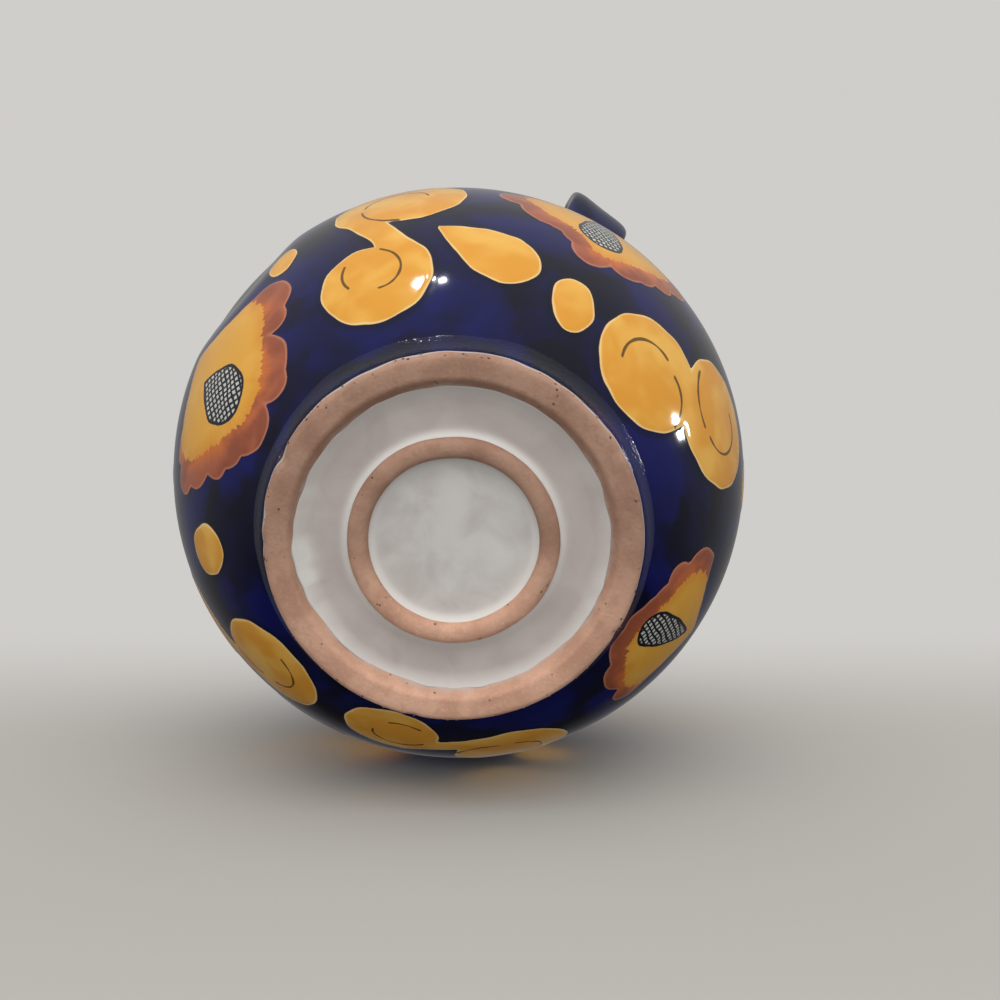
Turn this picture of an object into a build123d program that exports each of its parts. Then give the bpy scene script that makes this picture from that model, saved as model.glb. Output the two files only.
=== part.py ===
"""A round earthenware olla: a ball-shaped jar on a turned double foot, with a short waisted
neck, a rolled lip and two strap handles, glazed blue outside and white inside and underneath.

The jar stands upright on its foot. The origin is the centre of the standing face, +Z is up
and the handles are on the X axis. Profiles are drawn on the YZ plane, so that no seam of a
turned surface runs under a handle. All sizes are in millimetres.
"""

import os
from math import acos, atan2, cos, degrees, pi, radians, sin, sqrt, tan

from build123d import *

os.makedirs("parts", exist_ok=True)

# Driving dimensions of the jar's wall and its white glaze
belly_radius = 105.0
belly_sink = 8.5
shoulder_arc = 92.0
wall = 7.0
floor_thickness = 9.0
floor_corner = 7.0
belly_seam_bevel = 6.0
glaze = 0.6

# Driving dimensions of the neck and the lip
neck_waist_radius = 52.5
neck_arc = 16.0
neck_wall = 5.5
neck_flare_rise = 9.0
lip_overhang = 4.2
lip_height = 9.5
lip_round = 4.4
lip_under_bevel = 3.0

# Driving dimensions of the double foot
base_recess = 6.0
foot_inner_radius = 46.5
foot_slope_width = 4.0
foot_face_width = 6.5
foot_flare = 4.5
foot_round = 2.4
inner_ring_radius = 29.4
inner_ring_width = 6.4
inner_ring_setback = 0.8
inner_ring_crown = 1.9

# Driving dimensions of the handles
handle_overhang = 7.5
strap_width = 27.0
strap_thickness = 9.0
strap_round = 3.4
strap_bevel = 1.6
pad_width = 36.0
pad_thickness = 11.0
pad_length = 13.0
handle_neck_drop = 8.5
handle_crown_rise = 7.0
handle_landing_rise = 22.0
handle_landing_angle = 30.0

# Places that follow from the driving dimensions: the belly's ball is sunk below the standing face
belly_height = belly_radius - belly_sink
shoulder_centre = belly_radius - shoulder_arc
neck_centre = neck_waist_radius + neck_arc
seam_run = neck_centre - shoulder_centre
seam_rise = sqrt((shoulder_arc + neck_arc) ** 2 - seam_run**2)
neck_seam_angle = atan2(seam_rise, seam_run)
neck_waist_height = belly_height + seam_rise
neck_top_height = neck_waist_height + neck_flare_rise
neck_top_radius = neck_centre - sqrt(neck_arc**2 - neck_flare_rise**2)
mouth_radius = neck_waist_radius - neck_wall
inner_floor_height = base_recess + floor_thickness
foot_face_radius = foot_inner_radius + foot_slope_width + foot_face_width
foot_flare_radius = foot_face_radius + foot_flare
flare_height = belly_height - sqrt(belly_radius**2 - foot_flare_radius**2)


def outside_form():
    """A solid of the jar's outside, cut flat at the base and at the neck's top.

    The profile is an arc about the axis below the belly, a smaller arc for the shoulder, and a
    hollow arc for the neck, each tangent to the next.
    """
    base_radius = sqrt(belly_radius**2 - (belly_height - base_recess) ** 2)
    base_angle = degrees(acos(base_radius / belly_radius))
    seam_angle = degrees(neck_seam_angle)
    top_angle = degrees(atan2(neck_flare_rise, neck_top_radius - neck_centre))
    neck_sweep = top_angle - 180 - seam_angle
    with BuildPart() as form:
        with BuildSketch(Plane.YZ):
            with BuildLine():
                Line((0, base_recess), (base_radius, base_recess))
                CenterArc((0, belly_height), belly_radius, -base_angle, base_angle)
                CenterArc((shoulder_centre, belly_height), shoulder_arc, 0, seam_angle)
                CenterArc((neck_centre, neck_waist_height), neck_arc, 180 + seam_angle, neck_sweep)
                Line((neck_top_radius, neck_top_height), (0, neck_top_height))
                Line((0, neck_top_height), (0, base_recess))
            make_face()
        revolve(axis=Axis.Z)
    return form.part


def cavity_form(coat):
    """A solid of the hollow inside a coat of glaze: a round belly, a flat floor and a straight mouth."""
    ball = belly_radius - wall - coat
    shoulder = shoulder_arc - wall - coat
    bore = mouth_radius - coat
    floor = inner_floor_height + coat
    floor_radius = sqrt(ball**2 - (belly_height - floor) ** 2)
    floor_angle = degrees(acos(floor_radius / ball))
    bore_angle = acos((bore - shoulder_centre) / shoulder)
    with BuildPart() as form:
        with BuildSketch(Plane.YZ):
            with BuildLine():
                Line((0, floor), (floor_radius, floor))
                CenterArc((0, belly_height), ball, -floor_angle, floor_angle)
                CenterArc((shoulder_centre, belly_height), shoulder, 0, degrees(bore_angle))
                Line((bore, belly_height + shoulder * sin(bore_angle)), (bore, neck_top_height))
                Line((bore, neck_top_height), (0, neck_top_height))
                Line((0, neck_top_height), (0, floor))
            make_face()
        revolve(axis=Axis.Z)
        fillet(form.edges().group_by(Axis.Z)[0], floor_corner - coat)
    return form.part


def below_belly_seam():
    """A solid below the belly seam, a cone that falls from inside the wall to outside it."""
    slope = belly_seam_bevel / wall
    seam_middle = belly_radius - wall / 2
    rim = belly_radius + wall
    with BuildPart() as block:
        with BuildSketch(Plane.YZ):
            with BuildLine():
                Polyline(
                    (0, 0),
                    (rim, 0),
                    (rim, belly_height - slope * (rim - seam_middle)),
                    (0, belly_height + slope * seam_middle),
                    close=True,
                )
            make_face()
        revolve(axis=Axis.Z)
    return block.part


def above_neck_seam():
    """A solid above the neck seam, a cone square to the wall where the shoulder and the neck meet."""
    reach = 2 * (shoulder_arc + neck_arc)
    rim = shoulder_centre + reach * cos(neck_seam_angle)
    crown_height = belly_height + reach * sin(neck_seam_angle)
    with BuildPart() as block:
        with BuildSketch(Plane.YZ):
            with BuildLine():
                Polyline(
                    (0, belly_height),
                    (shoulder_centre, belly_height),
                    (rim, crown_height),
                    (0, crown_height),
                    close=True,
                )
            make_face()
        revolve(axis=Axis.Z)
    return block.part


def strap_section(plane, width, thickness):
    """A handle's section, rounded outside and bevelled inside, on a plane whose Y points outwards."""
    with BuildSketch(plane) as section:
        Rectangle(width, thickness)
        fillet(section.vertices().group_by(Axis.Y)[-1], strap_round)
        chamfer(section.vertices().group_by(Axis.Y)[0], strap_bevel)
    return section.sketch


jar_outside = outside_form()
jar_cavity = cavity_form(0)
belly_cutter = below_belly_seam()
neck_cutter = above_neck_seam()

# Lower bowl, with the jar's floor
with BuildPart() as lower_bowl:
    add(jar_outside)
    add(jar_cavity, mode=Mode.SUBTRACT)
    add(belly_cutter, mode=Mode.INTERSECT)

# Shoulder dome, from the belly seam to the neck seam
with BuildPart() as shoulder_dome:
    add(jar_outside)
    add(jar_cavity, mode=Mode.SUBTRACT)
    add(belly_cutter, mode=Mode.SUBTRACT)
    add(neck_cutter, mode=Mode.SUBTRACT)

# Neck collar, waisted and flared outside and straight inside
with BuildPart() as neck_collar:
    add(jar_outside)
    add(jar_cavity, mode=Mode.SUBTRACT)
    add(neck_cutter, mode=Mode.INTERSECT)

# Rolled lip, seated on the collar's top and hanging over its outside
with BuildPart() as rim_lip:
    with BuildSketch(Plane.YZ):
        with Locations((mouth_radius, neck_top_height)):
            lip_width = neck_top_radius + lip_overhang - mouth_radius
            Rectangle(lip_width, lip_height, align=(Align.MIN, Align.MIN))
    revolve(axis=Axis.Z)
    fillet(rim_lip.edges().group_by(Axis.Z)[-1], lip_round)
    under_edges = rim_lip.edges().filter_by(GeomType.CIRCLE).group_by(Axis.Z)[0]
    chamfer(under_edges.sort_by(SortBy.RADIUS)[-1], lip_under_bevel)

# Outer foot ring, with a flared outer wall, a flat standing face and a sloped inner wall
with BuildPart() as foot_ring:
    with BuildSketch(Plane.YZ):
        with BuildLine():
            Polyline(
                (foot_face_radius, 0),
                (foot_flare_radius, flare_height),
                (foot_inner_radius, flare_height + wall),
                (foot_inner_radius, base_recess),
                (foot_inner_radius + foot_slope_width, 0),
                close=True,
            )
        make_face()
    revolve(axis=Axis.Z)
    add(jar_outside, mode=Mode.SUBTRACT)
    fillet(foot_ring.edges().group_by(Axis.Z)[0], foot_round)

# Inner foot ring, a round-nosed coil that stops short of the standing plane
with BuildPart() as inner_foot_ring:
    with BuildSketch(Plane.YZ):
        with BuildLine():
            inner_side = inner_ring_radius - inner_ring_width / 2
            outer_side = inner_ring_radius + inner_ring_width / 2
            nose_start = inner_ring_setback + inner_ring_crown
            Polyline(
                (inner_side, nose_start),
                (inner_side, base_recess),
                (outer_side, base_recess),
                (outer_side, nose_start),
            )
            nose_tip = (inner_ring_radius, inner_ring_setback)
            ThreePointArc((outer_side, nose_start), nose_tip, (inner_side, nose_start))
        make_face()
    revolve(axis=Axis.Z)

# Right handle, a strap from under the lip that swells into a pad where it lands on the shoulder
strap_reach = belly_radius + handle_overhang - strap_thickness / 2
neck_end = Vector(neck_waist_radius - neck_wall / 2, 0, neck_top_height - handle_neck_drop)
crown = Vector(strap_reach, 0, neck_end.Z + handle_crown_rise)
landing_angle = radians(handle_landing_angle)
landing_arc = shoulder_arc - wall / 2
pad_end = Vector(
    shoulder_centre + landing_arc * cos(landing_angle), 0, belly_height + landing_arc * sin(landing_angle)
)
drop_end = Vector(strap_reach, 0, pad_end.Z + handle_landing_rise)
neck_heading = (crown - neck_end).normalized()
pad_heading = (drop_end - pad_end).normalized()
pad_top = pad_end + pad_heading * (wall / 2 + pad_length)
crown_turn = pi / 2 + atan2(handle_crown_rise, strap_reach - neck_end.X)
drop_turn = atan2(strap_reach - pad_end.X, handle_landing_rise)
bend_share = 0.97
handle_bend = bend_share * (crown.Z - drop_end.Z) / (tan(crown_turn / 2) + tan(drop_turn / 2))

neck_plane = Plane(origin=neck_end, x_dir=(0, 1, 0), z_dir=neck_heading)
pad_top_plane = Plane(origin=pad_top, x_dir=(0, -1, 0), z_dir=pad_heading)
pad_end_plane = Plane(origin=pad_end, x_dir=(0, -1, 0), z_dir=pad_heading)
neck_section = strap_section(neck_plane, strap_width, strap_thickness)
pad_top_section = strap_section(pad_top_plane, strap_width, strap_thickness)
pad_end_section = strap_section(pad_end_plane, pad_width, pad_thickness)

with BuildPart() as handle_right:
    with BuildLine() as handle_path:
        FilletPolyline(neck_end, crown, drop_end, pad_top, radius=handle_bend)
    sweep(neck_section, path=handle_path.wires()[0])
    loft([pad_top_section, pad_end_section], ruled=True)
    add(jar_outside, mode=Mode.SUBTRACT)

# Left handle, the same strap on the other side
with BuildPart() as handle_left:
    mirror(handle_right.part, about=Plane.YZ)

# White glaze inside the jar, up to the lip
with BuildPart() as inner_glaze:
    add(jar_cavity)
    add(cavity_form(glaze), mode=Mode.SUBTRACT)

# White glaze under the floor, between the two foot rings
coat_align = (Align.CENTER, Align.CENTER, Align.MAX)
with BuildPart() as base_glaze_ring:
    with Locations((0, 0, base_recess)):
        Cylinder(foot_inner_radius + foot_slope_width, glaze, align=coat_align)
        Cylinder(inner_ring_radius, glaze, align=coat_align, mode=Mode.SUBTRACT)
    add([foot_ring.part, inner_foot_ring.part], mode=Mode.SUBTRACT)

# White glaze under the floor, inside the inner foot ring
with BuildPart() as base_glaze_disc:
    with Locations((0, 0, base_recess)):
        Cylinder(inner_ring_radius, glaze, align=coat_align)
    add(inner_foot_ring.part, mode=Mode.SUBTRACT)

pieces = {
    "lower_bowl": lower_bowl,
    "shoulder_dome": shoulder_dome,
    "neck_collar": neck_collar,
    "rim_lip": rim_lip,
    "foot_ring": foot_ring,
    "inner_foot_ring": inner_foot_ring,
    "handle_right": handle_right,
    "handle_left": handle_left,
    "inner_glaze": inner_glaze,
    "base_glaze_ring": base_glaze_ring,
    "base_glaze_disc": base_glaze_disc,
}
for name, piece in pieces.items():
    piece.part.label = name
    export_step(piece.part, f"parts/{name}.step")
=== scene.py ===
"""A painted earthenware olla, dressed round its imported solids.

The jar stands on its foot at the origin, +Z up, with its strap handles on the X axis. Sizes in
this file are in millimetres unless a name says otherwise, and meshes are in metres.
"""

import logging
import math
from dataclasses import dataclass
from enum import Enum
from typing import Any, Sequence

import bpy
import numpy as np
from mathutils import Matrix, Vector


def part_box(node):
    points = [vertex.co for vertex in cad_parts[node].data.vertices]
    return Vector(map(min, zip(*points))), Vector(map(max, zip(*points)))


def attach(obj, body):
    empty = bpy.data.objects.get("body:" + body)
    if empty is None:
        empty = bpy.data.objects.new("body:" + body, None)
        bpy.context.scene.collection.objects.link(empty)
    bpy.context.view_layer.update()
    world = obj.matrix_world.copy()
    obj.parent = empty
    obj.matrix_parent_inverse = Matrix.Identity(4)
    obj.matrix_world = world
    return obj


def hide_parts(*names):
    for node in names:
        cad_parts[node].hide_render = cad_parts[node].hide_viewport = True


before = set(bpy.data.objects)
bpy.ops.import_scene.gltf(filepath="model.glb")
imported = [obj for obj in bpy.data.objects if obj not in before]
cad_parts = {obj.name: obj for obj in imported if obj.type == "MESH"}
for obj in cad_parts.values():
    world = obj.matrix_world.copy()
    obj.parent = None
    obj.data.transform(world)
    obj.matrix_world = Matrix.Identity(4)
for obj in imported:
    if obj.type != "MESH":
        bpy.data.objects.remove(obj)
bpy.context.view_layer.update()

Point = tuple[float, float]
Span = tuple[float, float]
Triple = tuple[float, float, float]
Colour = tuple[float, float, float]
Array = np.ndarray
Socket = bpy.types.NodeSocket
Tree = bpy.types.NodeTree
Material = bpy.types.Material
Piece = bpy.types.Object
Value = Socket | float | tuple[float, ...]

MM = 0.001
FAR = 999.0
TINY = 1e-9
SAME_PLACE = 1e-6
SEAM_GAP = 0.002
NOISE_MEAN = 0.5
CERAMIC_IOR = 1.5
NAVY: Colour = (0.0035, 0.0038, 0.014)
PALE_GOLD: Colour = (0.90, 0.50, 0.095)
ROW_NOTE = "profile_row"
BODY = "root"

log = logging.getLogger("olla")


class Curl(Enum):
    """Which way an S-scroll turns, seen from outside with the jar upright."""

    FORWARD = 1
    BACKWARD = -1


class Slot(Enum):
    """The record's material slots."""

    COBALT = "cobalt_glaze"
    CLAY = "terracotta"
    WHITE = "white_glaze"


@dataclass(frozen=True)
class Mottle:
    """An uneven pattern: noise whose patches are about one width across.

    A patch fades in between two values of the noise and covers its share at the most. The detail
    counts octaves of finer noise, the twist distorts it, and the pattern tells like ones apart.
    """

    width: float
    low: float = 0.0
    high: float = 1.0
    share: float = 1.0
    detail: float = 2.0
    twist: float = 0.0
    pattern: float = 0.0


@dataclass(frozen=True)
class Specks:
    """Round specks, one to a cell, in some patches only, that fade out between two shares of the cell."""

    cell: float
    core: float
    edge: float
    where: Mottle


@dataclass(frozen=True)
class Relief:
    """Fine relief: the width of its waves, their depth, its strength and its octaves of finer noise."""

    width: float
    depth: float
    strength: float
    detail: float = 2.0


def opaque(colour: Colour) -> tuple[float, float, float, float]:
    """A colour with full alpha, as sockets take it."""
    return (*colour, 1.0)


@dataclass(frozen=True)
class Wiring:
    """Adds nodes to a shader or geometry tree and joins them."""

    tree: Tree

    def feed(self, socket: Socket, value: Any) -> None:
        """Links a socket to another one, or sets its own value."""
        if isinstance(value, Socket):
            self.tree.links.new(value, socket)
        else:
            socket.default_value = value

    def node(self, kind: str, inputs: dict[str | int, Any] | None = None, **settings: Any) -> bpy.types.Node:
        """Adds one node.

        Args:
            kind: Blender's name of the node type.
            inputs: values or sockets, by the input's name or number.
            settings: the node's own properties.

        Returns:
            The new node.
        """
        made = self.tree.nodes.new(kind)
        for name, value in settings.items():
            setattr(made, name, value)
        for key, value in (inputs or {}).items():
            self.feed(made.inputs[key], value)
        return made

    def math(self, operation: str, first: Value, second: Value = 0.0) -> Socket:
        """The result of one arithmetic step."""
        return self.node("ShaderNodeMath", {0: first, 1: second}, operation=operation).outputs[0]

    def plus(self, first: Value, second: Value) -> Socket:
        """The sum of two numbers."""
        return self.math("ADD", first, second)

    def minus(self, first: Value, second: Value) -> Socket:
        """The difference of two numbers."""
        return self.math("SUBTRACT", first, second)

    def times(self, first: Value, second: Value) -> Socket:
        """The product of two numbers."""
        return self.math("MULTIPLY", first, second)

    def vector(self, operation: str, first: Value, second: Value = (0.0, 0.0, 0.0)) -> Socket:
        """The vector result of one vector step."""
        return self.node("ShaderNodeVectorMath", {0: first, 1: second}, operation=operation).outputs[0]

    def scaled(self, first: Value, factor: Value) -> Socket:
        """A vector times a number."""
        made = self.node("ShaderNodeVectorMath", {0: first, "Scale": factor}, operation="SCALE")
        return made.outputs[0]

    def dot(self, first: Value, second: Value) -> Socket:
        """The dot product of two vectors."""
        made = self.node("ShaderNodeVectorMath", {0: first, 1: second}, operation="DOT_PRODUCT")
        return made.outputs["Value"]

    def remap(self, value: Value, low: float, high: float, start: float = 0.0, end: float = 1.0) -> Socket:
        """A value carried from one range to another, clamped and smooth at both ends."""
        inputs = {"Value": value, "From Min": low, "From Max": high, "To Min": start, "To Max": end}
        return self.node("ShaderNodeMapRange", inputs, interpolation_type="SMOOTHSTEP").outputs[0]

    def fade(self, value: Value, low: float, high: float, full: float = 1.0) -> Socket:
        """A full amount where the value is low, which falls to nothing where it is high."""
        return self.remap(value, low, high, full, 0.0)

    def step(self, value: Value, soft: float) -> Socket:
        """One where the value is above zero and nothing below, with a soft edge."""
        return self.remap(value, -soft, soft)

    def band(self, value: Value, low: float, high: float, soft: float) -> Socket:
        """One between two values and zero outside them, with soft edges."""
        rise = self.remap(value, low - soft, low + soft)
        return self.times(rise, self.fade(value, high - soft, high + soft))

    def noise(self, place: Value, mottle: Mottle) -> Socket:
        """The bare noise of a pattern, at coordinates in metres."""
        inputs = {
            "Vector": place,
            "W": mottle.pattern,
            "Scale": 1.0 / (mottle.width * MM),
            "Detail": mottle.detail,
            "Distortion": mottle.twist,
        }
        return self.node("ShaderNodeTexNoise", inputs, noise_dimensions="4D").outputs[0]

    def patches(self, place: Value, mottle: Mottle) -> Socket:
        """How much a pattern's patches cover at each place, up to their share."""
        return self.remap(self.noise(place, mottle), mottle.low, mottle.high, 0.0, mottle.share)

    def specks(self, place: Value, specks: Specks) -> Socket:
        """How much specks cover at each place, with coordinates in metres."""
        inputs = {"Vector": place, "Scale": 1.0 / (specks.cell * MM)}
        away = self.node("ShaderNodeTexVoronoi", inputs).outputs["Distance"]
        return self.times(self.fade(away, specks.core, specks.edge), self.patches(place, specks.where))

    def mix(self, share: Value, first: Socket | Colour, second: Socket | Colour) -> Socket:
        """A colour between two, by a share of the second one from 0 to 1."""
        made = self.node("ShaderNodeMix", data_type="RGBA")
        self.feed(made.inputs[0], share)
        for index, colour in ((6, first), (7, second)):
            self.feed(made.inputs[index], opaque(colour) if isinstance(colour, tuple) else colour)
        return made.outputs[2]

    def attribute(self, name: str, output: str = "Fac") -> Socket:
        """One of the mesh's own attributes, as a number or as the output that is named."""
        made = self.node("ShaderNodeAttribute", attribute_name=name, attribute_type="GEOMETRY")
        return made.outputs[output]


def cleared(owner: Material | bpy.types.World) -> Wiring:
    """The wiring of a material's or a world's own tree, emptied of its first nodes."""
    owner.use_nodes = True
    owner.node_tree.nodes.clear()
    return Wiring(owner.node_tree)


class Finish:
    """A material under construction: its wiring, its shader and its Object coordinates."""

    def __init__(self, name: str, roughness: float) -> None:
        """Makes the material with a plain shader of that roughness."""
        self.material = bpy.data.materials.new(name)
        self.wire = cleared(self.material)
        self.shader = self.wire.node("ShaderNodeBsdfPrincipled", {"Roughness": roughness, "IOR": CERAMIC_IOR})
        output = self.wire.node("ShaderNodeOutputMaterial")
        self.wire.feed(output.inputs["Surface"], self.shader.outputs[0])
        self.place = self.wire.node("ShaderNodeTexCoord").outputs["Object"]

    def colour(self, socket: Socket) -> None:
        """Sets the surface colour."""
        self.wire.feed(self.shader.inputs["Base Color"], socket)

    def roughness(self, socket: Socket) -> None:
        """Sets a roughness that changes over the surface."""
        self.wire.feed(self.shader.inputs["Roughness"], socket)

    def bump(self, relief: Relief) -> None:
        """Sets the fine relief of the surface."""
        height = self.wire.noise(self.place, Mottle(relief.width, detail=relief.detail))
        inputs = {"Strength": relief.strength, "Distance": relief.depth * MM, "Height": height}
        self.wire.feed(self.shader.inputs["Normal"], self.wire.node("ShaderNodeBump", inputs).outputs[0])


@dataclass(frozen=True)
class BlueGround:
    """Cobalt brushed on in dabs: patches of thick navy and of brighter cobalt."""

    cobalt: Colour = (0.0055, 0.0075, 0.098)

    def colour(self, wire: Wiring, place: Socket) -> Socket:
        """The ground's colour.

        Args:
            wire: the material's wiring.
            place: the coordinates, in metres.

        Returns:
            The colour's socket.
        """
        stretched = wire.vector("MULTIPLY", place, (1.0, 1.0, 1.35))
        inputs = {"Vector": stretched, "Scale": 60.0, "Detail": 2.0}
        drift = wire.node("ShaderNodeTexNoise", inputs).outputs["Color"]
        shift = wire.scaled(wire.vector("SUBTRACT", drift, (NOISE_MEAN,) * 3), 22.0 * MM)
        moved = wire.vector("ADD", stretched, shift)
        inputs = {"Vector": moved, "Scale": 1.0 / (20.0 * MM), "Smoothness": 0.55}
        dabs = wire.node("ShaderNodeTexVoronoi", inputs, feature="SMOOTH_F1").outputs["Color"]
        tone = wire.node("ShaderNodeSeparateColor", {0: dabs}).outputs[0]
        cloud = wire.noise(stretched, Mottle(30.0, detail=3.0, twist=0.7))
        mixed = wire.plus(wire.times(tone, 0.45), wire.times(cloud, 0.75))
        return wire.mix(wire.remap(mixed, 0.36, 0.84), NAVY, self.cobalt)


@dataclass(frozen=True)
class GoldPaint:
    """Gold scrolls, drops and leaves with a cream edge, thin dark lines and a dark halo."""

    gold: Colour = (0.80, 0.355, 0.040)
    cream: Colour = (0.95, 0.72, 0.34)
    line: Colour = (0.075, 0.038, 0.012)

    def over(self, wire: Wiring, ground: Socket, place: Socket) -> Socket:
        """Paints the gold over a ground, by the piece's "gold", "line_side" and "line_near" attributes.

        Args:
            wire: the material's wiring.
            ground: the colour under the paint.
            place: the coordinates, in metres.

        Returns:
            The colour's socket.
        """
        edge = wire.attribute("gold")
        body = wire.mix(wire.patches(place, Mottle(17.0, 0.38, 0.66, twist=0.3)), self.gold, PALE_GOLD)
        uneven = wire.times(wire.noise(place, Mottle(9.0)), 1.5)
        rim = wire.fade(wire.minus(edge, uneven), -0.45, 0.15, 0.7)
        body = wire.mix(rim, body, self.cream)
        side = wire.math("ABSOLUTE", wire.attribute("line_side"))
        width = wire.times(wire.noise(place, Mottle(6.0, detail=1.0, pattern=3.0)), 0.95)
        stroke = wire.fade(wire.minus(side, width), -0.12, 0.12)
        near = wire.fade(wire.attribute("line_near"), 0.9, 1.5, 0.88)
        body = wire.mix(wire.times(stroke, near), body, self.line)
        halo = wire.times(wire.band(edge, -2.2, 0.0, 0.6), 0.55)
        return wire.mix(wire.step(edge, 0.12), wire.mix(halo, ground, NAVY), body)


@dataclass(frozen=True)
class FlowerPaint:
    """Sunflowers with yellow petals, a feathered terracotta fringe and a hatched eye.

    A depth is how far a place lies inside the line where the petals meet the fringe.
    """

    petal: Colour = (0.83, 0.42, 0.055)
    petal_deep: Colour = (0.74, 0.27, 0.028)
    fringe: Colour = (0.43, 0.125, 0.062)
    fringe_dark: Colour = (0.31, 0.085, 0.046)
    fringe_orange: Colour = (0.66, 0.175, 0.040)
    fringe_edge: Colour = (0.60, 0.25, 0.155)
    eye_white: Colour = (0.62, 0.63, 0.61)
    ink: Colour = (0.012, 0.013, 0.016)
    hatch_pitch: float = 2.05

    def over(self, wire: Wiring, ground: Socket, place: Socket) -> Socket:
        """Paints the flowers over a ground, by the attributes "flower", "flower_place", "petal" and "eye".

        Args:
            wire: the material's wiring.
            ground: the colour under the paint.
            place: the coordinates, in metres.

        Returns:
            The colour's socket.
        """
        edge = wire.attribute("flower")
        spot = wire.attribute("flower_place", "Vector")
        inputs = {"Vector": wire.vector("NORMALIZE", spot), "Scale": 17.0, "Detail": 1.5}
        feathers = wire.node("ShaderNodeTexNoise", inputs).outputs[0]
        depth = wire.plus(wire.attribute("petal"), wire.times(wire.minus(feathers, NOISE_MEAN), 5.5))
        petals = wire.mix(wire.fade(depth, 0.0, 7.0, 0.6), self.petal, self.petal_deep)
        petals = wire.mix(wire.patches(place, Mottle(15.0, 0.45, 0.70, 0.5)), petals, PALE_GOLD)
        cloud = wire.noise(place, Mottle(12.0, twist=0.4, pattern=2.0))
        fringe = wire.mix(wire.remap(cloud, 0.38, 0.62), self.fringe_dark, self.fringe)
        glow = wire.times(wire.remap(depth, -6.0, -0.5), wire.remap(cloud, 0.42, 0.62, 0.25, 0.9))
        fringe = wire.mix(glow, fringe, self.fringe_orange)
        fringe = wire.mix(wire.fade(edge, 0.2, 1.1, 0.6), fringe, self.fringe_edge)
        body = wire.mix(wire.remap(depth, -0.25, 0.35), fringe, petals)
        eye = wire.attribute("eye")
        ink = wire.math("MAXIMUM", self._hatch(wire, spot, place), wire.band(eye, -0.2, 0.9, 0.2))
        body = wire.mix(wire.remap(eye, -0.35, -0.05), body, wire.mix(ink, self.eye_white, self.ink))
        return wire.mix(wire.step(edge, 0.15), ground, body)

    def _hatch(self, wire: Wiring, spot: Socket, place: Socket) -> Socket:
        """The crossed ink lines of a flower's eye, a little uneven, on the flower's own coordinates."""
        parts = wire.node("ShaderNodeSeparateXYZ", {0: spot})
        sway = wire.times(wire.noise(place, Mottle(7.0, pattern=5.0)), 2.6)
        lines = []
        for axis in (0, 1):
            run = wire.math("DIVIDE", wire.plus(parts.outputs[axis], sway), self.hatch_pitch)
            from_middle = wire.math("ABSOLUTE", wire.minus(wire.math("FRACT", run), 0.5))
            lines.append(wire.fade(from_middle, 0.16, 0.26))
        return wire.math("MAXIMUM", *lines)


@dataclass(frozen=True)
class CobaltGlaze:
    """Glossy cobalt-blue glaze, thin along worn edges, with gold and terracotta painting on the wall."""

    blue: BlueGround = BlueGround()
    gold: GoldPaint = GoldPaint()
    flower: FlowerPaint = FlowerPaint()
    thin_blue: Colour = (0.030, 0.042, 0.150)
    wear: Mottle = Mottle(9.0, 0.35, 0.65, detail=3.0)
    gloss: float = 0.075
    waves: Relief = Relief(14.0, 0.22, 0.5)

    def painted(self) -> Material:
        """The finish of the jar's wall, with its painting."""
        finish = Finish("painted_cobalt_glaze", self.gloss)
        colour = self.blue.colour(finish.wire, finish.place)
        for paint in (self.gold, self.flower):
            colour = paint.over(finish.wire, colour, finish.place)
        finish.colour(colour)
        finish.bump(self.waves)
        return finish.material

    def plain(self, name: str, white: Colour | None = None) -> Material:
        """The finish of a piece with no painting, worn by the piece's "edge_wear" attribute.

        Args:
            name: the material's name.
            white: the colour of the other glaze, on a piece whose "coat" attribute says where it lies.

        Returns:
            The material.
        """
        finish = Finish(name, self.gloss)
        wire = finish.wire
        worn = wire.times(wire.attribute("edge_wear"), wire.patches(finish.place, self.wear))
        colour = wire.mix(worn, self.blue.colour(wire, finish.place), self.thin_blue)
        if white:
            colour = wire.mix(wire.step(wire.attribute("coat"), 0.15), colour, white)
        finish.colour(colour)
        finish.bump(self.waves)
        return finish.material


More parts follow.
